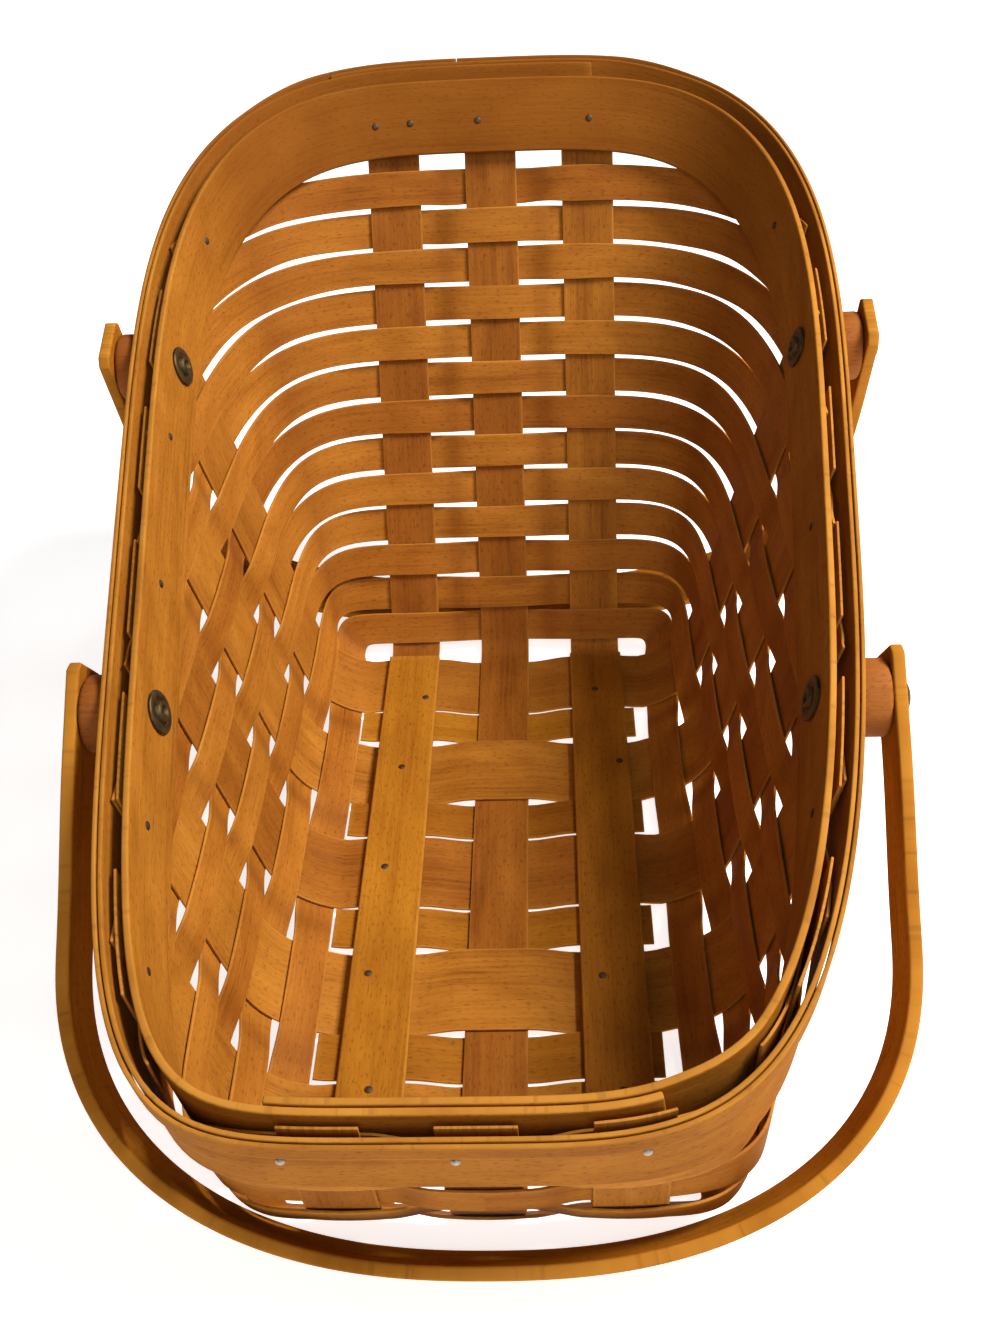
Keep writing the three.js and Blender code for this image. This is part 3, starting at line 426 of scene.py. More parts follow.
class Bench:
    """Lays out the nodes of one finish."""

    def __init__(self, name: str) -> None:
        """Starts an empty material.

        Args:
            name: the material's name.
        """
        self.material = bpy.data.materials.new(name)
        self.material.use_nodes = True
        self.tree = self.material.node_tree
        self.tree.nodes.clear()

    def node(self, kind: str, inputs: dict, **settings: object) -> bpy.types.Node:
        """Adds a node.

        Args:
            kind: the node's type.
            inputs: a value, or an output to link, for inputs by their name or number.
            **settings: the node's settings by name.

        Returns:
            The node.
        """
        node = self.tree.nodes.new(f"ShaderNode{kind}")
        for name, value in settings.items():
            setattr(node, name, value)
        for key, value in inputs.items():
            if isinstance(value, Socket):
                self.tree.links.new(value, node.inputs[key])
            else:
                node.inputs[key].default_value = value
        return node

    def along_grain(self) -> Socket:
        """Returns the piece's own coordinates: x across the grain and y along it, in metres."""
        return self.node("UVMap", {}, uv_map="grain").outputs["UV"]

    def object_place(self) -> Socket:
        """Returns the Object coordinates."""
        return self.node("TexCoord", {}).outputs["Object"]

    def mark(self, name: str) -> Socket:
        """Returns a value that the piece's vertices carry."""
        return self.node("Attribute", {}, attribute_name=name).outputs["Fac"]

    def noise(
        self,
        place: Socket,
        scale: tuple[float, float, float],
        detail: float,
        roughness: float = 0.5,
        distortion: float = 0.0,
    ) -> Socket:
        """Adds cloudy variation.

        Args:
            place: coordinates that it follows.
            scale: clouds to the metre along each coordinate.
            detail: octaves.
            roughness: how strong the finer octaves are.
            distortion: how much it wavers.

        Returns:
            The variation, from 0 to 1.
        """
        mapping = self.node("Mapping", {"Vector": place, "Scale": scale})
        inputs = {
            "Vector": mapping.outputs["Vector"],
            "Scale": 1.0,
            "Detail": detail,
            "Roughness": roughness,
            "Distortion": distortion,
        }
        return self.node("TexNoise", inputs).outputs["Fac"]

    def ramp(self, fac: Socket, stops: Sequence[tuple[float, Colour]]) -> Socket:
        """Adds colours that follow a value through stops.

        Args:
            fac: the value.
            stops: the value and the colour of each stop.

        Returns:
            The colour.
        """
        node = self.node("ValToRGB", {"Fac": fac})
        elements = node.color_ramp.elements
        while len(elements) < len(stops):
            elements.new(0.5)
        for element, (position, colour) in zip(elements, stops):
            element.position = position
            element.color = (*colour, 1.0)
        return node.outputs["Color"]

    def remap(
        self, value: Socket, low: float, high: float, to_low: float, to_high: float
    ) -> Socket:
        """Returns a value moved from one range to another, and kept in it."""
        inputs = dict(enumerate((value, low, high, to_low, to_high)))
        return self.node("MapRange", inputs).outputs[0]

    def maths(self, operation: str, first: object, second: object) -> Socket:
        """Returns a sum, product or other operation on two values."""
        return self.node("Math", {0: first, 1: second}, operation=operation).outputs[0]

    def mix(self, fac: object, base: object, top: object, how: str = "MIX") -> Socket:
        """Mixes two colours.

        Args:
            fac: how much of the second colour shows.
            base: the first colour.
            top: the second colour.
            how: the way they are mixed.

        Returns:
            The mixed colour.
        """
        inputs = {0: fac}
        for number, colour in ((6, base), (7, top)):
            inputs[number] = (*colour, 1.0) if isinstance(colour, tuple) else colour
        return self.node("Mix", inputs, data_type="RGBA", blend_type=how).outputs[2]

    def bump(self, height: Socket, strength: float, distance: float) -> Socket:
        """Returns normals that a height roughens, with its full depth in metres."""
        inputs = {"Height": height, "Strength": strength, "Distance": distance}
        return self.node("Bump", inputs).outputs["Normal"]

    def finish(self, **sockets: object) -> bpy.types.Material:
        """Adds the shader.

        Args:
            **sockets: a value, or an output to link, for its inputs by name.

        Returns:
            The finished material.
        """
        named = {name.replace("_", " "): value for name, value in sockets.items()}
        shader = self.node("BsdfPrincipled", named)
        self.node("OutputMaterial", {"Surface": shader.outputs["BSDF"]})
        return self.material


@dataclass(frozen=True)
class StainedWood:
    """Stained and oiled splint wood: grain along the piece, ray flecks, paler worn edges, and
    a darkening that each piece carries, which on the weavers is painted shade where they pass
    between the uprights.

    Args:
        name: the material's name.
        pale: colour of the lightest grain.
        body: main colour.
        deep: colour of the darkest grain and of pooled stain.
        worn: colour of the rubbed edges.
        gloss: strength of the reflection.
        wear: how far the edges are rubbed, from 0 to 1.
        flecks: strength of the ray flecks, from 0 to 1.
        shade_and_darkening_strength: strength of the painted shade and darkening that each piece
            carries, from 0 to 1.
        roughness: least and greatest roughness.
        relief: depth of the grain, in metres.
    """

    name: str
    pale: Colour
    body: Colour
    deep: Colour
    worn: Colour
    gloss: float = 0.1
    wear: float = 0.38
    flecks: float = 0.5
    shade_and_darkening_strength: float = 0.55
    roughness: tuple[float, float] = (0.58, 0.78)
    relief: float = 0.00022

    def build(self) -> bpy.types.Material:
        """Builds the finish.

        Returns:
            The material.
        """
        bench = Bench(self.name)
        grain = bench.along_grain()
        broad = bench.noise(grain, (95, 7, 1), 3.0, 0.55, 0.4)
        fine = bench.noise(grain, (900, 26, 1), 5.0, 0.62, 0.2)
        fleck = bench.noise(grain, (1500, 420, 1), 2.0, 0.5)
        cloud = bench.noise(grain, (42, 24, 1), 4.0, 0.55, 1.2)
        tone = bench.mark("tone")
        edge = bench.mark("edge")
        shade_and_darkening = bench.mark("shade_and_darkening")

        stops = [(0.28, self.deep), (0.46, self.body), (0.72, self.pale)]
        colour = bench.ramp(bench.mix(0.5, fine, broad), stops)
        clouded = bench.ramp(cloud, [(0.3, self.deep), (0.68, self.pale)])
        colour = bench.mix(0.3, colour, clouded)
        fleck_mask = bench.remap(fleck, 0.57, 0.68, 0.0, self.flecks)
        colour = bench.mix(fleck_mask, colour, self.deep)
        toned = bench.remap(tone, 0.0, 1.0, 0.0, 0.5)
        colour = bench.mix(toned, colour, bench.mix(1.0, colour, self.body, "MULTIPLY"))
        scuffed = bench.maths("MULTIPLY", edge, bench.remap(fine, 0.3, 0.6, 0.25, 1.0))
        colour = bench.mix(bench.maths("MULTIPLY", scuffed, self.wear), colour, self.worn)
        # Painted shade: the darkening mark blends a piece towards the deep colour; on the weavers
        # it marks where they pass between the uprights, in the weave's recesses.
        colour = bench.mix(bench.maths("MULTIPLY", shade_and_darkening, self.shade_and_darkening_strength), colour, self.deep)

        low, high = self.roughness
        height = bench.maths("SUBTRACT", fine, bench.maths("MULTIPLY", fleck_mask, 0.6))
        return bench.finish(
            Base_Color=colour,
            Roughness=bench.remap(fine, 0.3, 0.7, low, high),
            Specular_IOR_Level=self.gloss,
            Normal=bench.bump(height, 0.45, self.relief),
        )


@dataclass(frozen=True)
class AgedMetal:
    """Darkened metal that is rubbed brighter on its ridges.

    Args:
        name: the material's name.
        dark: colour of the patina.
        bright: colour of the rubbed metal.
        roughness: least and greatest roughness.
        metallic: how metallic it is under its patina, from 0 to 1.
        relief: depth of the scratches, in metres.
    """

    name: str
    dark: Colour
    bright: Colour
    roughness: tuple[float, float]
    metallic: float = 0.85
    relief: float = 0.0001

    def build(self) -> bpy.types.Material:
        """Builds the finish.

        Returns:
            The material.
        """
        bench = Bench(self.name)
        place = bench.object_place()
        stain = bench.noise(place, (420, 420, 420), 4.0, 0.6)
        scratch = bench.noise(place, (1800, 1800, 600), 3.0, 0.6)
        colour = bench.ramp(stain, [(0.35, self.dark), (0.75, self.bright)])
        scuffed = bench.remap(scratch, 0.3, 0.6, 0.3, 1.0)
        rubbed = bench.maths("MULTIPLY", bench.mark("edge"), scuffed)
        colour = bench.mix(rubbed, colour, self.bright)
        low, high = self.roughness
        return bench.finish(
            Base_Color=colour,
            Metallic=self.metallic,
            Roughness=bench.remap(stain, 0.3, 0.7, low, high),
            Normal=bench.bump(scratch, 0.25, self.relief),
        )


WEAVER_WOOD = StainedWood(
    "weaver_wood",
    pale=(0.55, 0.232, 0.030), body=(0.40, 0.142, 0.013),
    deep=(0.16, 0.042, 0.003), worn=(0.62, 0.30, 0.055),
)
UPRIGHT_WOOD = StainedWood(
    "upright_wood",
    pale=(0.50, 0.208, 0.026), body=(0.36, 0.126, 0.011),
    deep=(0.14, 0.037, 0.003), worn=(0.56, 0.26, 0.045),
)
FLOOR_WOOD = StainedWood(
    "floor_wood",
    pale=(0.47, 0.195, 0.014), body=(0.34, 0.122, 0.006),
    deep=(0.14, 0.039, 0.002), worn=(0.52, 0.24, 0.035),
)
RIM_WOOD = StainedWood(
    "rim_wood",
    pale=(0.49, 0.202, 0.026), body=(0.35, 0.128, 0.012),
    deep=(0.15, 0.040, 0.004), worn=(0.58, 0.28, 0.05),
    gloss=0.04,
)
HANDLE_WOOD = StainedWood(
    "handle_wood",
    pale=(0.50, 0.205, 0.022), body=(0.36, 0.130, 0.010),
    deep=(0.13, 0.036, 0.003), worn=(0.58, 0.27, 0.045),
    gloss=0.0,
)
SPACER_WOOD = StainedWood(
    "spacer_wood",
    pale=(0.45, 0.16, 0.03), body=(0.31, 0.095, 0.013),
    deep=(0.13, 0.035, 0.005), worn=(0.5, 0.2, 0.045),
)
RIVET_METAL = AgedMetal("rivet_metal", (0.022, 0.015, 0.006), (0.13, 0.085, 0.032), (0.4, 0.65))
DARK_TACK = AgedMetal("dark_tack", (0.030, 0.018, 0.010), (0.10, 0.065, 0.038), (0.5, 0.7))
PALE_TACK = AgedMetal("pale_tack", (0.10, 0.075, 0.055), (0.42, 0.36, 0.28), (0.4, 0.65))


# ---- Shaping ----


def deselect_all() -> None:
    """Leaves object mode with nothing selected."""
    if bpy.context.object and bpy.context.object.mode != "OBJECT":
        bpy.ops.object.mode_set(mode="OBJECT")
    bpy.ops.object.select_all(action="DESELECT")


def take_up(piece: Piece) -> None:
    """Makes a piece the only one selected, and the active one.

    Args:
        piece: the piece.
    """
    deselect_all()
    piece.select_set(True)
    bpy.context.view_layer.objects.active = piece


def apply_modifier(piece: Piece, kind: str, **settings: object) -> None:
    """Adds a modifier, sets it and applies it.

    Args:
        piece: the piece it works on.
        kind: the modifier's type.
        **settings: its settings by name.
    """
    take_up(piece)
    modifier = piece.modifiers.new(kind.lower(), kind)
    for name, value in settings.items():
        setattr(modifier, name, value)
    bpy.ops.object.modifier_apply(modifier=modifier.name)


def ease_edges(piece: Piece, easing: float, steps: int, sharper_than: float) -> None:
    """Rounds off a piece's edges.

    Args:
        piece: the piece.
        easing: how much of each edge is rounded off, in millimetres.
        steps: faces round each eased edge.
        sharper_than: least angle of an edge that is eased, in degrees.
    """
    apply_modifier(
        piece,
        "BEVEL",
        width=easing * MM,
        segments=steps,
        limit_method="ANGLE",
        angle_limit=math.radians(sharper_than),
    )


def put_mark(piece: Piece, name: str, values: np.ndarray) -> None:
    """Writes a value for each vertex of a piece."""
    mark = piece.data.attributes.new(name=name, type="FLOAT", domain="POINT")
    mark.data.foreach_set("value", np.asarray(values, dtype=np.float32).ravel())


def smooth_faces(piece: Piece, degrees: float) -> None:
    """Shades a piece smooth but for edges sharper than an angle."""
    take_up(piece)
    bpy.ops.object.shade_smooth_by_angle(angle=math.radians(degrees))


def dress(piece: Piece, finish: bpy.types.Material, body: str, slot: str, degrees: float) -> Piece:
    """Gives a shaped piece its finish, its shading and its body.

    Args:
        piece: the piece.
        finish: its material.
        body: the body that it rides on.
        slot: the record's material slot; not used.
        degrees: angle up to which its edges are shaded smooth.

    Returns:
        The piece.
    """
    piece.data.materials.clear()
    piece.data.materials.append(finish)
    smooth_faces(piece, degrees)
    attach(piece, body)
    return piece


def grid_normals(lines: Lines, closed: bool) -> np.ndarray:
    """Finds the normals of a grid of points.

    Args:
        lines: points by place along and across.
        closed: whether the last line meets the first.

    Returns:
        A unit normal for each point: along crossed with across.
    """
    if closed:
        along = np.roll(lines, -1, 0) - np.roll(lines, 1, 0)
    else:
        along = np.gradient(lines, axis=0)
    normals = np.cross(along, np.gradient(lines, axis=1))
    return normals / np.linalg.norm(normals, axis=2, keepdims=True)


def across_shares(width: float, edge: float, inner: int) -> list[float]:
    """Shares out a strip's width: a narrow worn edge at each side and even steps between.

    Args:
        width: the strip's width.
        edge: width of each worn edge.
        inner: steps between the edges.

    Returns:
        The places across as shares of the width.
    """
    rim = edge / width
    steps = [lerp(rim, 1.0 - rim, k / inner) for k in range(inner + 1)]
    return [0.0, *steps, 1.0]


@dataclass(frozen=True)
class Splint:
    """A flat strip of wood that is cut, laid on lines, and has its edges eased.

    Args:
        name: the finished piece's name.
        node: the frame's node that it stands for.
        slot: the record's material slot.
        finish: its material.
        thickness: the strip's thickness.
        easing: how much of each edge is rounded off.
        tone: how much darker than its fellows it is, from 0 to 1.
        body: the body that it rides on.
    """

    name: str
    node: str
    slot: str
    finish: bpy.types.Material
    thickness: float
    easing: float
    tone: float
    body: str = "basket"

    def lay(
        self,
        lines: Lines,
        lifts: np.ndarray | None = None,
        shade_and_darkening: np.ndarray | None = None,
        closed: bool = False,
        steps: int = 2,
    ) -> Piece:
        """Cuts the strip as a flat grid and lays it on its lines.

        Args:
            lines: points of the strip's middle layer, by place along and across, in millimetres.
            lifts: distance of each place along from its line, towards the face.
            shade_and_darkening: how much darker each place along is painted: painted shade where a
                weaver passes between the uprights, and a darker back on the rim bands.
            closed: whether the strip's ends meet.
            steps: faces round each eased edge.

        Returns:
            The finished piece.
        """
        lifts = np.zeros(len(lines)) if lifts is None else lifts
        shade_and_darkening = np.zeros(len(lines)) if shade_and_darkening is None else shade_and_darkening
        laid = lines + grid_normals(lines, closed) * lifts[:, None, None]
        if closed:
            laid = np.concatenate([laid, laid[:1]])
            shade_and_darkening = np.append(shade_and_darkening, shade_and_darkening[0])
        count, across = laid.shape[:2]
        deselect_all()
        bpy.ops.mesh.primitive_grid_add(
            x_subdivisions=across - 1, y_subdivisions=count - 1, size=1.0
        )
        piece = bpy.context.object
        piece.name = piece.data.name = self.name
        order = self._place_vertices(piece.data, laid)
        self._write_grain(piece.data, order, laid)
        at_edge = np.zeros((count, across))
        at_edge[:, 0] = at_edge[:, -1] = 1.0
        if not closed:
            at_edge[0] = at_edge[-1] = 1.0
        for name, values in (
            ("edge", at_edge),
            ("shade_and_darkening", np.repeat(shade_and_darkening[:, None], across, 1)),
            ("tone", np.full((count, across), self.tone)),
        ):
            scattered = np.empty(count * across)
            scattered[order] = values.ravel()
            put_mark(piece, name, scattered)

        if closed:
            bpy.ops.object.mode_set(mode="EDIT")
            bpy.ops.mesh.select_all(action="SELECT")
            bpy.ops.mesh.remove_doubles(threshold=0.02 * MM)
            bpy.ops.object.mode_set(mode="OBJECT")
        apply_modifier(piece, "SOLIDIFY", thickness=self.thickness * MM, offset=0.0)
        ease_edges(piece, self.easing, steps, sharper_than=50)
        dress(piece, self.finish, self.body, self.slot, SPLINT_SMOOTHING)
        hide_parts(self.node)
        return piece

    @staticmethod
    def _place_vertices(mesh: bpy.types.Mesh, laid: Lines) -> np.ndarray:
        """Moves the flat grid's vertices to their laid places.

        Args:
            mesh: the flat grid.
            laid: the places, by place along and across, in millimetres.

        Returns:
            The vertex of each place, line by line.
        """
        flat = np.empty(len(mesh.vertices) * 3)
        mesh.vertices.foreach_get("co", flat)
        flat = flat.reshape(-1, 3)
        order = np.lexsort((flat[:, 0].round(6), flat[:, 1].round(6)))
        placed = np.empty_like(flat)
        placed[order] = laid.reshape(-1, 3) * MM
        mesh.vertices.foreach_set("co", placed.ravel())
        return order

    def _write_grain(self, mesh: bpy.types.Mesh, order: np.ndarray, laid: Lines) -> None:
        """Writes the grain's coordinates: metres across and along, shifted for each piece.

        Args:
            mesh: the laid grid.
            order: the vertex of each place, line by line.
            laid: the places, by place along and across, in millimetres.
        """
        length = path_lengths(laid[:, laid.shape[1] // 2])
        width = path_lengths(laid[0])
        chance = random.Random(self.name)
        shift = chance.uniform(0, 3), chance.uniform(0, 30)
        rank = np.empty(len(order), dtype=int)
        rank[order] = np.arange(len(order))
        corners = np.empty(len(mesh.loops), dtype=np.int32)
        mesh.loops.foreach_get("vertex_index", corners)
        along, across = np.divmod(rank[corners], len(width))
        grain = np.stack([width[across] * MM + shift[0], length[along] * MM + shift[1]], axis=1)
        layer = mesh.uv_layers.active
        layer.name = "grain"
        layer.data.foreach_set("uv", grain.astype(np.float32).ravel())


# ---- The weave ----


@dataclass(frozen=True)
class Station:
    """A place along a row: its turn at any height, and its side of the weave."""

    turn: TurnLine
    lift: float


class Wall(Enum):
    """The four walls of the basket."""

    FRONT = "front"
    RIGHT = "right"
    BACK = "back"
    LEFT = "left"


@dataclass(frozen=True)
class Upright:
    """An upright splint where it stands in a wall.

    Args:
        wall: the wall.
        middle: its middle line, an x of an end wall or a y of a side wall.
        half: half its width.
        direction: 1 where the rows pass it towards +X or +Y, -1 where they pass it the other way.
    """

    wall: Wall
    middle: float
    half: float
    direction: int

    @property
    def before(self) -> float:
        """Returns the edge that a row comes to first."""
        return self.middle - self.direction * self.half

    @property
    def after(self) -> float:
        """Returns the edge that a row leaves."""
        return self.middle + self.direction * self.half


@dataclass
class Weave:
    """The rows of weavers, and the splints of the floor that turn up as uprights.

    Args:
        wall: the basket's wall.
        weaver_finish: material of the weavers.
        upright_finish: material of the cross splints and the lengthwise splints.
        floor_finish: material of the fillers.
        thickness: thickness of every splint.
        easing: how much of each edge is rounded off.
        weaver_width: width of a weaver.
        weaver_pitch: distance up the wall from row to row.
        first_row: distance up the wall of the first row's lower edge.
        rows: number of rows.
        upright_width: width of a lengthwise splint.
        upright_pitch: distance between the lengthwise splints' middle lines.
        cross_width: width of a cross splint.
        cross_pitch: distance between the cross splints' middle lines.
        filler_width: width of a filler.
        filler_reach: how far up the left and the right bend a filler ends.
        offset: distance of a woven splint from the wall's middle surface.
        runout: distance up the wall in which an upright comes to the middle surface.
        tuck: distance of a splint's upper end below the rim's plane.
        bow: how much further out a weaver stands over the middle of an upright.
        waver: how far a weaver's edges stray.
        most_rise: how far at most a weaver's upper edge strays upwards.
        weaver_edge: width of the worn edge of a weaver.
        upright_edge: width of the worn edge of an upright or a filler.
        side_pitch: length from place to place up a side wall.
        end_pitch: length from place to place up an end wall.
        crosses: number of cross splints.
        weaver_seed: the number that the weavers' chance starts from.
        cross_seed: the number that the cross splints' chance starts from.
        filler_seed: the number that the fillers' chance starts from.
    """

    wall: BasketWall
    weaver_finish: bpy.types.Material
    upright_finish: bpy.types.Material
    floor_finish: bpy.types.Material
    thickness: float = 0.8
    easing: float = 0.24
    weaver_width: float = 12.5
    weaver_pitch: float = 14.0
    first_row: float = 7.3
    rows: int = 13
    upright_width: float = 19.0
    upright_pitch: float = 35.9
    cross_width: float = 31.0
    cross_pitch: float = 49.4
    filler_width: float = 16.0
    filler_reach: tuple[float, float] = (6.6, 2.5)
    offset: float = 1.1
    runout: float = 6.4
    tuck: float = 1.5
    bow: float = 0.32
    waver: float = 0.3
    most_rise: float = 0.2
    weaver_edge: float = 0.7
    upright_edge: float = 0.8
    side_pitch: float = 3.0
    end_pitch: float = 2.6
    crosses: int = 5
    weaver_seed: int = 100
    cross_seed: int = 200
    filler_seed: int = 300

    @property
    def floor_reach(self) -> float:
        """Returns the x of the outer edge of the outer lengthwise splints."""
        return self.upright_pitch + self.upright_width / 2

    def uprights(self) -> list[Upright]:
        """Places the uprights.

        Returns:
            The uprights, counter-clockwise from the middle of the front.
        """
        ends = self.upright_width / 2
        sides = self.cross_width / 2
        steps = [k * self.cross_pitch for k in (-2, -1, 0, 1, 2)]
        pitch = self.upright_pitch
        return [
            *(Upright(Wall.FRONT, x, ends, 1) for x in (0.0, pitch)),
            *(Upright(Wall.RIGHT, y, sides, 1) for y in steps),
            *(Upright(Wall.BACK, x, ends, -1) for x in (pitch, 0.0, -pitch)),
            *(Upright(Wall.LEFT, y, sides, -1) for y in reversed(steps)),
            Upright(Wall.FRONT, -pitch, ends, 1),
        ]

    def _station(self, wall: Wall, at: float, lift: float) -> Station:
        """Places a station on a wall.

        Args:
            wall: the wall.
            at: an x of an end wall or a y of a side wall.
            lift: the station's distance out from the wall's middle surface.

        Returns:
            The station.
        """
        if wall in (Wall.FRONT, Wall.BACK):
            return Station(lambda height: self.wall.turn_at_x(at, height, wall is Wall.BACK), lift)
        return Station(lambda height: self.wall.turn_at_y(at, height, wall is Wall.RIGHT), lift)

    @staticmethod
    def _between(first: Station, second: Station, share: float, lift: float) -> Station:
        """Places a station between two others.

        Args:
            first: the station that it comes after.
            second: the station that it comes before.
            share: its share of the way from the first to the second.
            lift: its distance out from the wall's middle surface.

        Returns:
            The station.
        """

        def turn(height: float) -> complex:
            """Returns the place's turn at a height."""
            start, end = first.turn(height), second.turn(height)
            return start * cmath.rect(1.0, share * cmath.phase(end / start))

        return Station(turn, lift)

    def _crossing(self, upright: Upright, side: int) -> list[Station]:
        """Places a row's stations where it passes an upright, and bows it there.

        Args:
            upright: the upright.
            side: 1 where the row passes outside it, -1 inside.

        Returns:
            The stations.
        """
        count = 8 if upright.wall in (Wall.LEFT, Wall.RIGHT) else 6
        crossing = []
        for step in range(count + 1):
            share = 2.0 * step / count - 1.0
            at = upright.middle + upright.direction * upright.half * share
            lift = side * (self.offset + self.bow * (1.0 - share * share))
            crossing.append(self._station(upright.wall, at, lift))
        return crossing

    def stations(self, row: int) -> list[Station]:
        """Places a row's stations, close together, once round the basket.

        Args:
            row: the row's number, from 0 at the floor.

        Returns:
            The stations, from the middle of the front.
        """
        side_steps, corner_steps = 7, 20
        uprights = self.uprights()
        sides = [1 if (row + index) % 2 == 0 else -1 for index in range(len(uprights))]
        crossings = [self._crossing(*each) for each in zip(uprights, sides)]
        half = len(crossings[0]) // 2
        stations = crossings[0][half:]
        for index in range(1, len(uprights) + 1):
            last, upright = uprights[index - 1], uprights[index % len(uprights)]
            crossing = crossings[index % len(uprights)]
            before, after = stations[-1], crossing[0]
            same = upright.wall is last.wall
            count = side_steps if same else corner_steps
            for step in range(1, count):
                share = step / count
                lift = lerp(before.lift, after.lift, (1.0 - math.cos(math.pi * share)) / 2)
                if same:
                    at = lerp(last.after, upright.before, share)
                    stations.append(self._station(upright.wall, at, lift))
                else:
                    stations.append(self._between(before, after, share, lift))
            stations.extend(crossing if index < len(uprights) else crossing[:half])
        return stations

    def _below_rim(self, stations: list[Station], top: float) -> tuple[list[Station], bool]:
        """Cuts a row's stations where its upper edge runs in behind the rim bands.

        Args:
            stations: the whole row's stations.
            top: distance up the wall of the row's upper edge.

        Returns:
            The stations that are left, and whether the row is still a closed ring.
        """

        def room(station: Station) -> float:
            """Returns how far the row's upper edge is below its highest place."""
            return -self.tuck - self.wall.above_rim(self.wall.row_point(station.turn, top))

        inside = [room(station) >= 0 for station in stations]
        if all(inside):
            return stations, True
        first = inside.index(True)
        last = len(inside) - 1 - inside[::-1].index(True)

        def cut(inner: Station, outer: Station) -> Station:
            """Finds where the row meets its highest level.

            Args:
                inner: the last station below that level.
                outer: the first station above it.

            Returns:
                The place between them.
            """
            halvings = 20
            low, high = 0.0, 1.0
            for _ in range(halvings):
                middle = (low + high) / 2
                if room(self._between(inner, outer, middle, inner.lift)) >= 0:
                    low = middle
                else:
                    high = middle
            return self._between(inner, outer, low, inner.lift)

        start = cut(stations[first], stations[first - 1])
        end = cut(stations[last], stations[last + 1])
        return [start, *stations[first : last + 1], end], False

    def _splint(
        self, name: str, node: str, slot: str, finish: bpy.types.Material, tone: float
    ) -> Splint:
        """Returns a strip of the weave's stock."""
        return Splint(name, node, slot, finish, self.thickness, self.easing, tone)

    def weaver(self, row: int) -> Piece:
        """Weaves one row: a ring low down, an open strip where the rim is lower at the front.

        Args:
            row: the row's number, from 0 at the floor.

        Returns:
            The piece.
        """
        chance = random.Random(self.weaver_seed + row)
        start, width = self.first_row + row * self.weaver_pitch, self.weaver_width
        stations, closed = self._below_rim(self.stations(row), start + width)
        shares = across_shares(width, self.weaver_edge, 3)
        phases = [chance.uniform(0, FULL_TURN) for _ in range(4)]
        lines = []
        for index, station in enumerate(stations):
            turn = FULL_TURN * index / len(stations)
            strays = [math.sin((3 + 2 * k) * turn + phase) for k, phase in enumerate(phases)]
            upper = min(self.waver * (0.6 * strays[0] + 0.4 * strays[1]), self.most_rise)
            lower = self.waver * (0.6 * strays[2] + 0.4 * strays[3])
            ups = [start + share * width + lerp(lower, upper, share) for share in shares]
            lines.append([self.wall.row_point(station.turn, up) for up in ups])
        lifts = np.array([station.lift for station in stations])
        # Painted shade: a weaver is painted darkest where it passes between the uprights, down in
        # the weave's recesses.
        shade_and_darkening = np.clip(1.0 - np.abs(lifts) / self.offset, 0.0, 1.0)
        number = f"{row + 1:02d}"
        tone = chance.uniform(0.0, 1.0)
        splint = self._splint(
            f"row_{number}_weaver", f"weaver_row_{number}", "weaver_wood", self.weaver_finish, tone
        )
        return splint.lay(np.array(lines), lifts, shade_and_darkening, closed)

    def _floor_lines(
        self, ys: list[float], over_middle: int
    ) -> tuple[list[list[Vector]], list[float]]:
        """Lays a splint across the floor.

        Args:
            ys: the places across its width.
            over_middle: 1 where it passes over the middle lengthwise splint, -1 under it.

        Returns:
            The lines of points from left to right, and each line's side of the weave.
        """
        steps = 18
        inner, outer = self.upright_width / 2, self.upright_pitch - self.upright_width / 2
        xs = [self.floor_reach * (k / steps - 1.0) for k in range(2 * steps + 1)]
        lifts = []
        for x in xs:
            share = min(max((abs(x) - inner) / (outer - inner), 0.0), 1.0)
            lifts.append(over_middle * math.cos(math.pi * share))
        return [[Vector((x, y, self.wall.floor_level)) for y in ys] for x in xs], lifts

    def cross_splint(self, index: int) -> Piece:
        """Bends a splint up one side wall, across the floor and up the other.

        Args:
            index: its number, from 0 at the front.

        Returns:
            The piece.
        """
        wall, side = self.wall, self.wall.side
        centre = (index - (self.crosses - 1) / 2) * self.cross_pitch
        over_middle = 1 if index % 2 == 1 else -1
        shares = across_shares(self.cross_width, self.upright_edge, 6)
        ys = [centre + (share - 0.5) * self.cross_width for share in shares]

        def top_at(y: float) -> float:
            """Returns how high up the wall the splint ends at a y."""
            top = wall.height_below_rim(lambda height: wall.turn_at_y(y, height, True), self.tuck)
            return side.distance(top)

        middle_top = top_at(centre)
        tops = [top_at(y) for y in ys]
        bends = side.bend_length
        count = round(middle_top / self.side_pitch)
        rise = [middle_top * k / count for k in range(count + 1)]

        def wall_line(distance: float, at_right: bool) -> list[Vector]:
            """Finds the points across the splint at a distance up a side wall.

            Args:
                distance: distance up the wall on the splint's middle line.
                at_right: whether it is the right wall.

            Returns:
                The points.
            """
            straight = max(0.0, distance - bends) / (middle_top - bends)
            points = []
            for y, top in zip(ys, tops):
                height = side.up(distance + straight * (top - middle_top))
                points.append(wall.point(wall.turn_at_y(y, height, at_right), height))
            return points

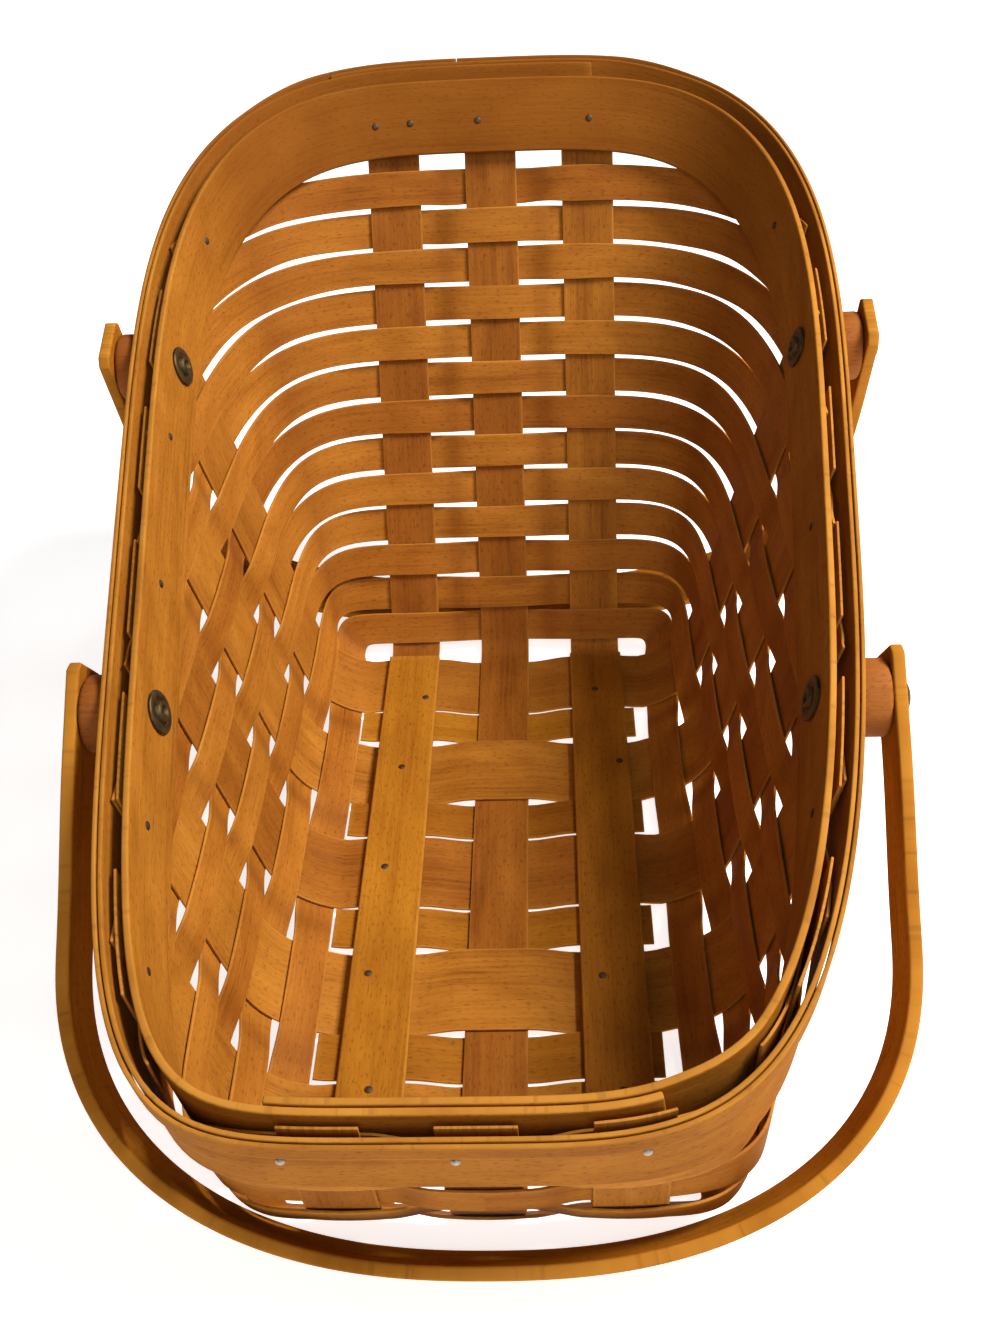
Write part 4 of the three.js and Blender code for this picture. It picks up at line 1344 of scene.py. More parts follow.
        floor, floor_lifts = self._floor_lines(ys, over_middle)
        lines = [wall_line(distance, False) for distance in reversed(rise)]
        lines += floor
        lines += [wall_line(distance, True) for distance in rise]
        risen = [-over_middle * (1.0 - smooth(distance / self.runout)) for distance in rise]
        lifts = np.array([*reversed(risen), *floor_lifts, *risen]) * self.offset
        name, node = f"cross_upright_{index + 1}", f"cross_splint_{index + 1}"
        tone = random.Random(self.cross_seed + index).uniform(0.0, 1.0)
        splint = self._splint(name, node, "upright_wood", self.upright_finish, tone)
        return splint.lay(np.array(lines), lifts)

    def filler(self, index: int) -> Piece:
        """Lays a narrow splint between two cross splints. It ends under the first row.

        Args:
            index: its number, from 0 at the front.

        Returns:
            The piece.
        """
        wall = self.wall
        steps = 4
        centre = (index - (self.crosses - 2) / 2) * self.cross_pitch
        shares = across_shares(self.filler_width, self.upright_edge, 3)
        ys = [centre + (share - 0.5) * self.filler_width for share in shares]

        def end(at_right: bool) -> list[list[Vector]]:
            """Finds the lines of points on a side bend.

            Args:
                at_right: whether it is the right bend.

            Returns:
                The lines, from its foot up.
            """
            reach = self.filler_reach[at_right]
            heights = [wall.side.up(reach * k / steps) for k in range(1, steps + 1)]
            return [[wall.point(wall.turn_at_y(y, h, at_right), h) for y in ys] for h in heights]

        floor, floor_lifts = self._floor_lines(ys, -1)
        lines = [*reversed(end(False)), *floor, *end(True)]
        outside = [1.0] * steps
        lifts = np.array([*outside, *floor_lifts, *outside]) * self.offset
        name, node = f"filler_{index + 1}", f"floor_filler_{index + 1}"
        tone = random.Random(self.filler_seed + index).uniform(0.0, 1.0)
        splint = self._splint(name, node, "floor_wood", self.floor_finish, tone)
        return splint.lay(np.array(lines), lifts)

    def lengthwise_splint(self, name: str, centre: float) -> Piece:
        """Bends a splint up the front wall, along the floor and up the back wall.

        Args:
            name: left, middle or right.
            centre: its x.

        Returns:
            The piece.
        """
        wall = self.wall
        shares = across_shares(self.upright_width, self.upright_edge, 4)
        xs = [centre + (0.5 - share) * self.upright_width for share in shares]

        def rise(profile: WallProfile, at_back: bool) -> list[list[Vector]]:
            """Finds the lines of points up an end wall.

            Args:
                profile: the wall's section.
                at_back: whether it is the back wall.

            Returns:
                The lines, from the floor up.
            """
            top = wall.height_below_rim(lambda h: wall.turn_at_x(centre, h, at_back), self.tuck)
            length = profile.distance(top)
            count = round(length / self.end_pitch)
            heights = [profile.up(length * k / count) for k in range(count + 1)]
            return [[wall.point(wall.turn_at_x(x, h, at_back), h) for x in xs] for h in heights]

        steps = 30
        run = wall.half_length - 2.0
        ys = [run * (k / steps - 1.0) for k in range(2 * steps + 1)]
        floor = [[Vector((x, y, wall.floor_level)) for x in xs] for y in ys]
        lines = [*reversed(rise(wall.front, False)), *floor, *rise(wall.back, True)]
        splint = self._splint(
            f"upright_{name}",
            f"lengthwise_splint_{name}",
            "upright_wood",
            self.upright_finish,
            random.Random(name).uniform(0.0, 1.0),
        )
        return splint.lay(np.array(lines))

    def build(self) -> list[Piece]:
        """Weaves the whole basket.

        Returns:
            Its pieces.
        """
        pieces = [self.weaver(row) for row in range(self.rows)]
        pieces += [self.cross_splint(index) for index in range(self.crosses)]
        pieces += [self.filler(index) for index in range(self.crosses - 1)]
        for name, step in (("left", -1), ("middle", 0), ("right", 1)):
            pieces.append(self.lengthwise_splint(name, step * self.upright_pitch))
        return pieces


# ---- Floor runners ----


@dataclass
class Runners:
    """The two stout slats nailed along the floor inside.

    Args:
        finish: their material.
        centre: distance of their middle lines from the basket's.
        width: their width.
        thickness: their thickness.
        bottom: height of their undersides.
        half_length: half their length.
        easing: how much of each edge is rounded off.
        tones: how much darker the left and the right one are, from 0 to 1.
    """

    finish: bpy.types.Material
    centre: float = 35.9
    width: float = 20.0
    thickness: float = 2.0
    bottom: float = 3.3
    half_length: float = 114.3
    easing: float = 0.7
    tones: tuple[float, float] = (0.15, 0.7)

    @property
    def top(self) -> float:
        """Returns the height of their upper faces."""
        return self.bottom + self.thickness

    def build(self) -> list[Piece]:
        """Planes both slats.

        Returns:
            The two pieces.
        """
        steps = 30
        middle = self.bottom + self.thickness / 2
        shares = across_shares(self.width, 1.0, 4)
        ys = [self.half_length * (k / steps - 1.0) for k in range(2 * steps + 1)]
        pieces = []
        for name, side, tone in zip(("left", "right"), (-1, 1), self.tones):
            xs = [side * self.centre + (0.5 - share) * self.width for share in shares]
            splint = Splint(
                f"runner_{name}",
                f"floor_runner_{name}",
                "floor_wood",
                self.finish,
                self.thickness,
                self.easing,
                tone,
            )
            grid = np.array([[Vector((x, y, middle)) for x in xs] for y in ys])
            pieces.append(splint.lay(grid, steps=3))
        return pieces


# ---- Rim ----


@dataclass(frozen=True)
class RimLine:
    """A run of places along the rim, each with the way down the wall and its length so far."""

    rims: np.ndarray
    lowers: np.ndarray
    lengths: np.ndarray

    @property
    def whole(self) -> float:
        """Returns the length of the run."""
        return float(self.lengths[-1])


@dataclass
class RimBands:
    """The inner and outer bands, and the narrow trim over the outer one's top edge.

    Args:
        wall: the basket's wall.
        finish: their material.
        band_width: width of both bands.
        inner_thickness: thickness of the inner band.
        outer_thickness: thickness of the outer band.
        trim_width: width of the trim.
        trim_thickness: thickness of the trim.
        inner_offset: distance of the inner band's middle out from the wall's.
        outer_offset: distance of the outer band's middle out from the wall's.
        trim_offset: distance of the trim's middle out from the wall's.
        layer_gap: clearance between the two layers of a lap.
        lap_ease: length in which a band moves from one layer to the next.
        lap_margin: length by which a layer goes on past a lap.
        inner_lap: x of the inner band's first and last end, at the front.
        outer_lap: x of the outer band's first and last end, at the back.
        trim_joint_x: x of the trim's joint, at the back.
        trim_joint: width of the trim's joint.
        pitch: length from place to place along a band.
        worn_edge: width of a band's worn edge.
        back_darkening: how much darker the bands are painted towards the back.
        darkening_from: y from which they grow darker.
        darkening_over: distance in which they grow to their full darkness.
    """

    wall: BasketWall
    finish: bpy.types.Material
    band_width: float = 25.4
    inner_thickness: float = 2.0
    outer_thickness: float = 1.3
    trim_width: float = 6.0
    trim_thickness: float = 1.2
    inner_offset: float = -3.25
    outer_offset: float = 2.9
    trim_offset: float = 4.45
    layer_gap: float = 0.3
    lap_ease: float = 30.0
    lap_margin: float = 3.0
    inner_lap: tuple[float, float] = (-49.0, 43.0)
    outer_lap: tuple[float, float] = (38.0, -57.0)
    trim_joint_x: float = -12.0
    trim_joint: float = 0.08
    pitch: float = 3.0
    worn_edge: float = 0.9
    back_darkening: float = 1.2
    darkening_from: float = 120.0
    darkening_over: float = 60.0

    def angle_at_x(self, x: float, at_back: bool) -> float:
        """Finds a place on the rim of an end wall.

        Args:
            x: place across the basket.
            at_back: whether it is at the back.

        Returns:
            The place's angle, which grows counter-clockwise from the right.
        """
        wall = self.wall
        height = wall.height_below_rim(lambda h: wall.turn_at_x(x, h, at_back), 0.0)
        angle = cmath.phase(wall.turn_at_x(x, height, at_back))
        return angle if at_back or x >= 0 else angle + FULL_TURN

    def _rim_point(self, angle: float) -> Vector:
        """Returns the rim's point at an angle."""
        turn = cmath.rect(1.0, angle)
        return self.wall.point(turn, self.wall.height_below_rim(lambda _: turn, 0.0))

    def _edges(self, angle: float) -> tuple[Vector, Vector]:
        """Finds both edges of a band where it lies on the wall's middle surface.

        Args:
            angle: the place's angle.

        Returns:
            The rim's point, and the point a band's width below it.
        """
        wall, turn = self.wall, cmath.rect(1.0, angle)
        rim = self._rim_point(angle)
        along = (self._rim_point(angle + SMALL_TURN) - rim).normalized()
        up = (rim - wall.point(turn, rim.z - wall.floor_level - 1.0)).normalized()
        square = (up - along * up.dot(along)).normalized()
        drop = self.band_width * square.dot(wall.rim_normal)
        return rim, wall.point(turn, wall.height_below_rim(lambda _: turn, drop))

    def _length(self, start: float, end: float, count: int = 240) -> float:
        """Measures the rim between two places.

        Args:
            start: angle of the first place.
            end: angle of the last one.
            count: steps in which it is measured.

        Returns:
            The length.
        """
        points = [self._rim_point(lerp(start, end, k / count)) for k in range(count + 1)]
        return sum((b - a).length for a, b in zip(points, points[1:]))

    def run(self, start: float, end: float) -> RimLine:
        """Walks along the rim in even steps.

        Args:
            start: angle of the first place.
            end: angle of the last one.

        Returns:
            The run.
        """
        steps = 720
        fine = [lerp(start, end, k / steps) for k in range(steps + 1)]
        points = [self._rim_point(angle) for angle in fine]
        pieces = [(b - a).length for a, b in zip(points, points[1:])]
        reach = np.concatenate([[0.0], np.cumsum(pieces)])
        count = round(float(reach[-1]) / self.pitch)
        lengths = np.linspace(0.0, float(reach[-1]), count + 1)
        pairs = [self._edges(float(angle)) for angle in np.interp(lengths, reach, fine)]
        return RimLine(np.array([p[0] for p in pairs]), np.array([p[1] for p in pairs]), lengths)

    def _strip(
        self, splint: Splint, run: RimLine, width: float, offset_at: Callable[[float], float]
    ) -> Piece:
        """Bends a band round a run of the rim, with its top edge level with the inner band's.

        Args:
            splint: the band.
            run: the places that it follows.
            width: its width down from the rim.
            offset_at: its distance out from the wall at a length along it.

        Returns:
            The piece.
        """
        shares = across_shares(width, self.worn_edge, max(2, round(width / 4)))
        lowest = run.rims + (run.lowers - run.rims) * (width / self.band_width)
        grid = np.stack([lowest + (run.rims - lowest) * share for share in shares], axis=1)
        offsets = np.array([offset_at(float(length)) for length in run.lengths])
        level = np.array(self.wall.rim_normal)
        ups = run.rims - lowest
        ups /= np.linalg.norm(ups, axis=1, keepdims=True)
        falls = (offsets - self.inner_offset) * (grid_normals(grid, False)[:, -1] @ level)
        grid = grid - (ups * (falls / (ups @ level))[:, None])[:, None]
        # The bands are painted darker towards the back.
        darker = np.clip((run.rims[:, 1] - self.darkening_from) / self.darkening_over, 0.0, 1.0)
        return splint.lay(grid, offsets, self.back_darkening * darker, steps=3)

    def _splint(self, name: str, node: str, thickness: float, easing: float, tone: float) -> Splint:
        """Returns the cut strip of a band."""
        return Splint(name, node, "rim_wood", self.finish, thickness, easing, tone)

    def inner_band(self) -> Piece:
        """Bends the inner band, whose first end lies inside its last at the front.

        Returns:
            The piece.
        """
        start = self.angle_at_x(self.inner_lap[0], False) - FULL_TURN
        end = self.angle_at_x(self.inner_lap[1], False) + FULL_TURN
        lap = self._length(start, end - FULL_TURN) + self.lap_margin
        layer = self.inner_thickness + self.layer_gap

        def offset_at(length: float) -> float:
            """Returns the band's distance out from the wall."""
            return self.inner_offset - layer * (1.0 - smooth((length - lap) / self.lap_ease))

        splint = self._splint(
            "inner_band", "rim_band_inner", self.inner_thickness, easing=0.55, tone=0.25
        )
        return self._strip(splint, self.run(start, end), self.band_width, offset_at)

    def outer_band(self) -> Piece:
        """Bends the outer band, whose last end lies outside its first at the back.

        Returns:
            The piece.
        """
        start = self.angle_at_x(self.outer_lap[0], True)
        end = self.angle_at_x(self.outer_lap[1], True)
        lap = self._length(start, end) + self.lap_margin
        run = self.run(start, end + FULL_TURN)
        layer = self.outer_thickness + self.layer_gap

        def offset_at(length: float) -> float:
            """Returns the band's distance out from the wall."""
            into = length - (run.whole - lap - self.lap_ease)
            return self.outer_offset + layer * smooth(into / self.lap_ease)

        splint = self._splint(
            "outer_band", "rim_band_outer", self.outer_thickness, easing=0.4, tone=0.5
        )
        return self._strip(splint, run, self.band_width, offset_at)

    def trim(self) -> Piece:
        """Bends the trim over the outer band's top edge, and out over its lap.

        Returns:
            The piece.
        """
        lap_start = self.angle_at_x(self.outer_lap[0], True)
        lap_end = self.angle_at_x(self.outer_lap[1], True)
        joint = self.angle_at_x(self.trim_joint_x, True)
        steps = 720
        whole = self._length(joint, joint + FULL_TURN, steps)
        slit = FULL_TURN * self.trim_joint / whole
        to_end = self._length(joint, lap_end) + self.lap_margin
        to_start = self._length(joint, lap_start + FULL_TURN, steps) - 2 * self.lap_margin
        layer = self.outer_thickness + self.layer_gap

        def offset_at(length: float) -> float:
            """Finds the trim's distance out from the wall.

            Args:
                length: length along the trim.

            Returns:
                The distance.
            """
            leaving = 1.0 - smooth((length - to_end - self.lap_margin) / self.lap_ease)
            past = length - (to_start - self.lap_ease - self.lap_margin)
            return self.trim_offset + layer * max(leaving, smooth(past / self.lap_ease))

        splint = self._splint("trim", "rim_trim", self.trim_thickness, easing=0.35, tone=0.6)
        run = self.run(joint, joint + FULL_TURN - slit)
        return self._strip(splint, run, self.trim_width, offset_at)

    def build(self) -> list[Piece]:
        """Bends both bands and the trim, and returns them."""
        return [self.inner_band(), self.outer_band(), self.trim()]


# ---- Turned parts ----


def turn_up(name: str, profile: Sequence[tuple[float, float]], segments: int) -> Piece:
    """Turns a part on its axis, which is Z, from a filled circle that is drawn up step by step.

    Args:
        name: the part's name.
        profile: radius and height of each ring, in millimetres, from its foot to its middle.
        segments: sides of the circle.

    Returns:
        The part, at the origin.
    """
    deselect_all()
    radius, height = profile[0]
    bpy.ops.mesh.primitive_circle_add(
        vertices=segments, radius=radius * MM, fill_type="NGON", location=(0, 0, height * MM)
    )
    part = bpy.context.object
    part.name = part.data.name = name
    bpy.ops.object.transform_apply(location=True, rotation=False, scale=False)
    bpy.ops.object.mode_set(mode="EDIT")
    bpy.ops.mesh.select_all(action="SELECT")
    for (before, low), (after, high) in zip(profile, profile[1:]):
        rise = (0, 0, (high - low) * MM)
        bpy.ops.mesh.extrude_region_move(TRANSFORM_OT_translate={"value": rise})
        scale = after / before
        bpy.ops.transform.resize(value=(scale, scale, 1.0), center_override=(0, 0, high * MM))
    bpy.ops.mesh.select_all(action="SELECT")
    bpy.ops.mesh.normals_make_consistent(inside=False)
    bpy.ops.object.mode_set(mode="OBJECT")
    return part


def set_on(part: Piece, place: Vector, axis: Vector) -> None:
    """Moves a turned part.

    Args:
        part: the part.
        place: where its foot goes, in millimetres.
        axis: the direction in which its axis goes.
    """
    turn = Vector((0, 0, 1)).rotation_difference(axis).to_matrix().to_4x4()
    part.data.transform(Matrix.Translation(place * MM) @ turn)


def join(parts: list[Piece], name: str) -> Piece:
    """Joins parts into one piece.

    Args:
        parts: the parts.
        name: the piece's name.

    Returns:
        The piece.
    """
    deselect_all()
    for part in parts:
        part.select_set(True)
    bpy.context.view_layer.objects.active = parts[0]
    bpy.ops.object.join()
    piece = bpy.context.object
    piece.name = piece.data.name = name
    return piece


@dataclass(frozen=True)
class Pivot:
    """One pivot of a handle.

    Args:
        name: the handle and the side that it is on.
        side: -1 at the left, 1 at the right.
        span: inside width of the handle.
        point: its place on the wall's middle surface.
        outward: the direction out of the wall there.
    """

    name: str
    side: int
    span: float
    point: Vector
    outward: Vector

    @property
    def axis(self) -> Vector:
        """Returns the direction of its axis, away from the basket."""
        return Vector((self.side, 0, 0))

    def x_at(self, offset: float) -> float:
        """Returns how far out the axis meets a layer at a distance out from the wall."""
        return abs(self.point.x) + offset / abs(self.outward.x)

    def place(self, out: float) -> Vector:
        """Returns the axis's point at a distance out from the basket's middle."""
        return Vector((self.side * out, self.point.y, self.point.z))


@dataclass
class Pivots:
    """The four riveted pivots: a rivet with two heads, and a wooden spacer on its shank.

    Args:
        wall: the basket's wall.
        metal: material of the rivets.
        wood: material of the spacers.
        front_y: y of the front pivots.
        rear_y: y of the rear pivots.
        front_span: inside width of the front handle.
        rear_span: inside width of the rear handle.
        below_rim: distance of the pivots below the rim.
        inner_face: distance of the inner heads' seat out from the wall's middle surface.
        spacer_seat: distance of the spacers' seat out from it.
        spacer_radius: radius of the spacers.
        spacer_easing: how much of a spacer's sawn edge is rounded off.
        shank_radius: radius of the rivets' shanks.
        shank_sunk: how far each end of a shank goes into its head.
        head_gap: clearance on both sides of a handle.
        inner_head: radius and height of the inner head's rings: flange, raised ring and dimple.
        outer_head: radius and height of the outer head's rings: a low dome.
    """

    wall: BasketWall
    metal: bpy.types.Material
    wood: bpy.types.Material
    front_y: float = -31.0
    rear_y: float = 94.0
    front_span: float = 219.0
    rear_span: float = 239.04
    below_rim: float = 12.7
    inner_face: float = -4.55
    spacer_seat: float = 5.35
    spacer_radius: float = 10.8
    spacer_easing: float = 0.35
    shank_radius: float = 2.5
    shank_sunk: float = 0.3
    head_gap: float = 0.3
    inner_head: tuple[tuple[float, float], ...] = (
        (6.35, 0.0), (6.35, 0.45), (5.9, 0.78), (4.3, 0.92), (3.9, 0.62), (3.3, 0.62),
        (2.9, 1.7), (2.4, 1.9), (1.7, 1.9), (1.35, 1.0), (0.3, 0.85),
    )
    outer_head: tuple[tuple[float, float], ...] = (
        (4.8, 0.0), (4.8, 0.55), (4.45, 1.15), (3.7, 1.7), (2.7, 2.1), (1.5, 2.33), (0.4, 2.4),
    )

    def rivet(self, pivot: Pivot) -> Piece:
        """Sets one rivet.

        Args:
            pivot: its pivot.

        Returns:
            The piece.
        """
        head_at = pivot.place(pivot.x_at(self.inner_face))
        outer_out = pivot.span / 2 + HANDLE_THICKNESS + self.head_gap
        inner = turn_up(f"{pivot.name}_inner", self.inner_head, segments=40)
        ease_edges(inner, 0.1, steps=2, sharper_than=28)
        set_on(inner, head_at, -pivot.outward)
        outer = turn_up(f"{pivot.name}_outer", self.outer_head, segments=32)
        ease_edges(outer, 0.12, steps=2, sharper_than=28)
        set_on(outer, pivot.place(outer_out), pivot.axis)
        length = abs(pivot.side * outer_out - head_at.x) + 2 * self.shank_sunk
        ends = [(self.shank_radius, 0.0), (self.shank_radius, length)]
        shank = turn_up(f"{pivot.name}_shank", ends, segments=20)
        set_on(shank, head_at - pivot.axis * self.shank_sunk, pivot.axis)
        piece = join([inner, outer, shank], f"{pivot.name}_rivet")
        self._mark_ridges(piece, head_at, -pivot.outward)
        dress(piece, self.metal, "basket", "rivet_metal", degrees=40)
        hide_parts(f"rivet_{pivot.name}")
        return piece

    @staticmethod
    def _mark_ridges(piece: Piece, foot: Vector, axis: Vector) -> None:
        """Marks the raised ring and the flange's rim as rubbed.

        Args:
            piece: the rivet.
            foot: the foot of its inner head, in millimetres.
            axis: the direction of that head's axis.
        """
        rubbed, plain = 0.8, 0.1
        ring_bottom, rim_bottom, rim_inside, rim_outside = 1.6, 0.5, 5.6, 6.2
        values = []
        for vertex in piece.data.vertices:
            offset = vertex.co / MM - foot
            height = offset.dot(axis)
            radius = (offset - axis * height).length
            is_ring = height > ring_bottom
            is_rim = rim_inside < radius < rim_outside and height > rim_bottom
            values.append(rubbed if is_ring or is_rim else plain)
        put_mark(piece, "edge", np.array(values))

    def spacer(self, pivot: Pivot) -> Piece:
        """Turns one spacer, and saws its inner end to the lean of the rim.

        Args:
            pivot: its pivot.

        Returns:
            The piece.
        """
        point, outward, radius = pivot.point, pivot.outward, self.spacer_radius
        seat_out = pivot.x_at(self.spacer_seat)
        length = pivot.span / 2 - self.head_gap - seat_out
        foot = -radius * math.hypot(outward.y, outward.z) / abs(outward.x) - 1.0
        profile = [
            (radius - 0.25, foot),
            (radius, foot + 1.5),
            (radius, length - 1.3),
            (radius - 0.25, length - 0.5),
            (radius - 0.9, length),
            (BORE_RADIUS, length),
            (BORE_RADIUS, length - 0.8),
        ]
        piece = turn_up(f"{pivot.name}_spacer", profile, segments=48)
        set_on(piece, pivot.place(seat_out), pivot.axis)
        bpy.ops.object.mode_set(mode="EDIT")
        bpy.ops.mesh.select_all(action="SELECT")
        seat = (point + outward * self.spacer_seat) * MM
        bpy.ops.mesh.bisect(plane_co=seat, plane_no=outward, use_fill=True, clear_inner=True)
        bpy.ops.object.mode_set(mode="OBJECT")
        ease_edges(piece, self.spacer_easing, steps=2, sharper_than=50)
        self._write_turned_grain(piece, pivot.name)
        dress(piece, self.wood, "basket", "spacer_wood", degrees=40)
        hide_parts(f"spacer_{pivot.name}")
        return piece

    @staticmethod
    def _write_turned_grain(piece: Piece, name: str) -> None:
        """Runs the grain of a turned piece along X, round its face.

        Args:
            piece: the piece.
            name: the name that its chance follows.
        """
        chance = random.Random(name)
        shift = chance.uniform(0, 3), chance.uniform(0, 3)
        mesh = piece.data
        layer = mesh.uv_layers.active or mesh.uv_layers.new()
        layer.name = "grain"
        for loop in mesh.loops:
            place = mesh.vertices[loop.vertex_index].co
            layer.data[loop.index].uv = (place.z + 0.5 * place.y + shift[0], place.x + shift[1])
        count = len(mesh.vertices)
        for mark, value in (("edge", 0.1), ("shade_and_darkening", 0.2), ("tone", chance.uniform(0.2, 0.9))):
            put_mark(piece, mark, np.full(count, value))

    def build(self) -> list[Piece]:
        """Makes the four rivets and the four spacers.

        Returns:
            The eight pieces.
        """
        pieces = []
        for end, y, span in (
            ("front", self.front_y, self.front_span),
            ("rear", self.rear_y, self.rear_span),
        ):
            for name, side in ((f"{end}_left", -1), (f"{end}_right", 1)):
                point, outward = self.wall.frame_below_rim(y, side > 0, self.below_rim)
                pivot = Pivot(name, side, span, point, outward)
                pieces += [self.rivet(pivot), self.spacer(pivot)]
        return pieces


# ---- Handles ----


@dataclass
class Handle:
    """A bent strip that swings on two pivots: two straight arms and an arch.

    Args:
        name: front or rear.
        finish: its material.
        span: its inside width at the pivots.
        reach: distance from the pivots to the outside of its arch.
        pivot: the middle of its hinge line, in millimetres.
        swing: how far it hangs turned about the hinge line from lying level, in degrees.
        tone: how much darker than its fellow it is, from 0 to 1.
        width: the strip's width.
        end: distance from the pivots to its ends.
        end_chamfer: how much of each end's corners is cut off.
        arch_depth: depth of the arch.
        arch_power: how square the arch is: 1 is an ellipse.
        toe_in: how far each arm draws in on its way to the arch.
        easing: how much of each edge is rounded off.
        pitch: length from place to place along the strip.
        worn_edge: width of its worn edges.
    """

    name: str
    finish: bpy.types.Material
    span: float
    reach: float
    pivot: Vector
    swing: float
    tone: float
    width: float = 20.0
    end: float = 13.0
    end_chamfer: float = 2.5
    arch_depth: float = 80.0
    arch_power: float = 0.85
    toe_in: float = 1.0
    easing: float = 0.9
    pitch: float = 2.6
    worn_edge: float = 1.2

    def middle_line(self) -> tuple[np.ndarray, np.ndarray]:
        """Draws the strip's middle line from its right end to its left, flat in its own plane.

        Returns:
            The line's points, and the length at each.
        """
        arm_steps, arch_steps = 8, 180
        half = self.span / 2 + HANDLE_THICKNESS / 2
        arm = self.reach - HANDLE_THICKNESS / 2 - self.arch_depth
        side = [(half, -self.end)]
        for step in range(arm_steps):
            share = step / arm_steps
            side.append((half - self.toe_in * smooth(share), lerp(self.end, arm, share)))
        arch = []
        for step in range(arch_steps + 1):
            angle = math.pi * step / arch_steps
            across = math.copysign(abs(math.cos(angle)) ** self.arch_power, math.cos(angle))
            along = abs(math.sin(angle)) ** self.arch_power
            arch.append(((half - self.toe_in) * across, arm + self.arch_depth * along))
        line = np.array([*side, *arch, *((-x, y) for x, y in reversed(side))])
        reach = path_lengths(line)
        whole = float(reach[-1])
        near_end, close = 6.0, [0.0, 0.8, 1.7, 2.5, 4.0]
        count = round((whole - 2 * near_end) / self.pitch)
        between = np.linspace(near_end, whole - near_end, count)
        lengths = np.concatenate([close, between, [whole - step for step in reversed(close)]])
        return np.stack([np.interp(lengths, reach, line[:, k]) for k in (0, 1)], axis=1), lengths

    def build(self) -> Piece:
        """Bends the strip, cuts its end corners, bores it and hangs it on its pivots.

        Returns:
            The piece.
        """
        line, lengths = self.middle_line()
        line[1:-1] = (line[:-2] + 2 * line[1:-1] + line[2:]) / 4
        shares = across_shares(self.width, self.worn_edge, 4)
        from_end = np.minimum(lengths, lengths[-1] - lengths)
        halves = self.width / 2 - np.clip(self.end_chamfer - from_end, 0.0, None)
        hang = Matrix.Translation(self.pivot) @ Matrix.Rotation(math.radians(self.swing), 4, "X")
        lines = []
        for (x, y), half in zip(line, halves):
            lines.append([hang @ Vector((x, y, (2.0 * share - 1.0) * half)) for share in shares])
        node = f"{self.name}_handle"
        splint = Splint(
            f"{self.name}_bent_handle",
            node,
            "handle_wood",
            self.finish,
            HANDLE_THICKNESS,
            self.easing,
            self.tone,
            body=node,
        )
        piece = splint.lay(np.array(lines), steps=3)
        self._bore(piece)
        smooth_faces(piece, SPLINT_SMOOTHING)
        return piece

    def _bore(self, piece: Piece) -> None:
        """Bores the holes for both rivets.

        Args:
            piece: the bent strip.
        """
        deselect_all()
        bpy.ops.mesh.primitive_cylinder_add(
            vertices=32,
            radius=BORE_RADIUS * MM,
            depth=(self.span + 4 * HANDLE_THICKNESS) * MM,
            location=self.pivot * MM,
            rotation=(0, math.pi / 2, 0),
        )
        drill = bpy.context.object
        apply_modifier(piece, "BOOLEAN", operation="DIFFERENCE", object=drill, solver="EXACT")
        bpy.data.objects.remove(drill)


# ---- Tacks ----


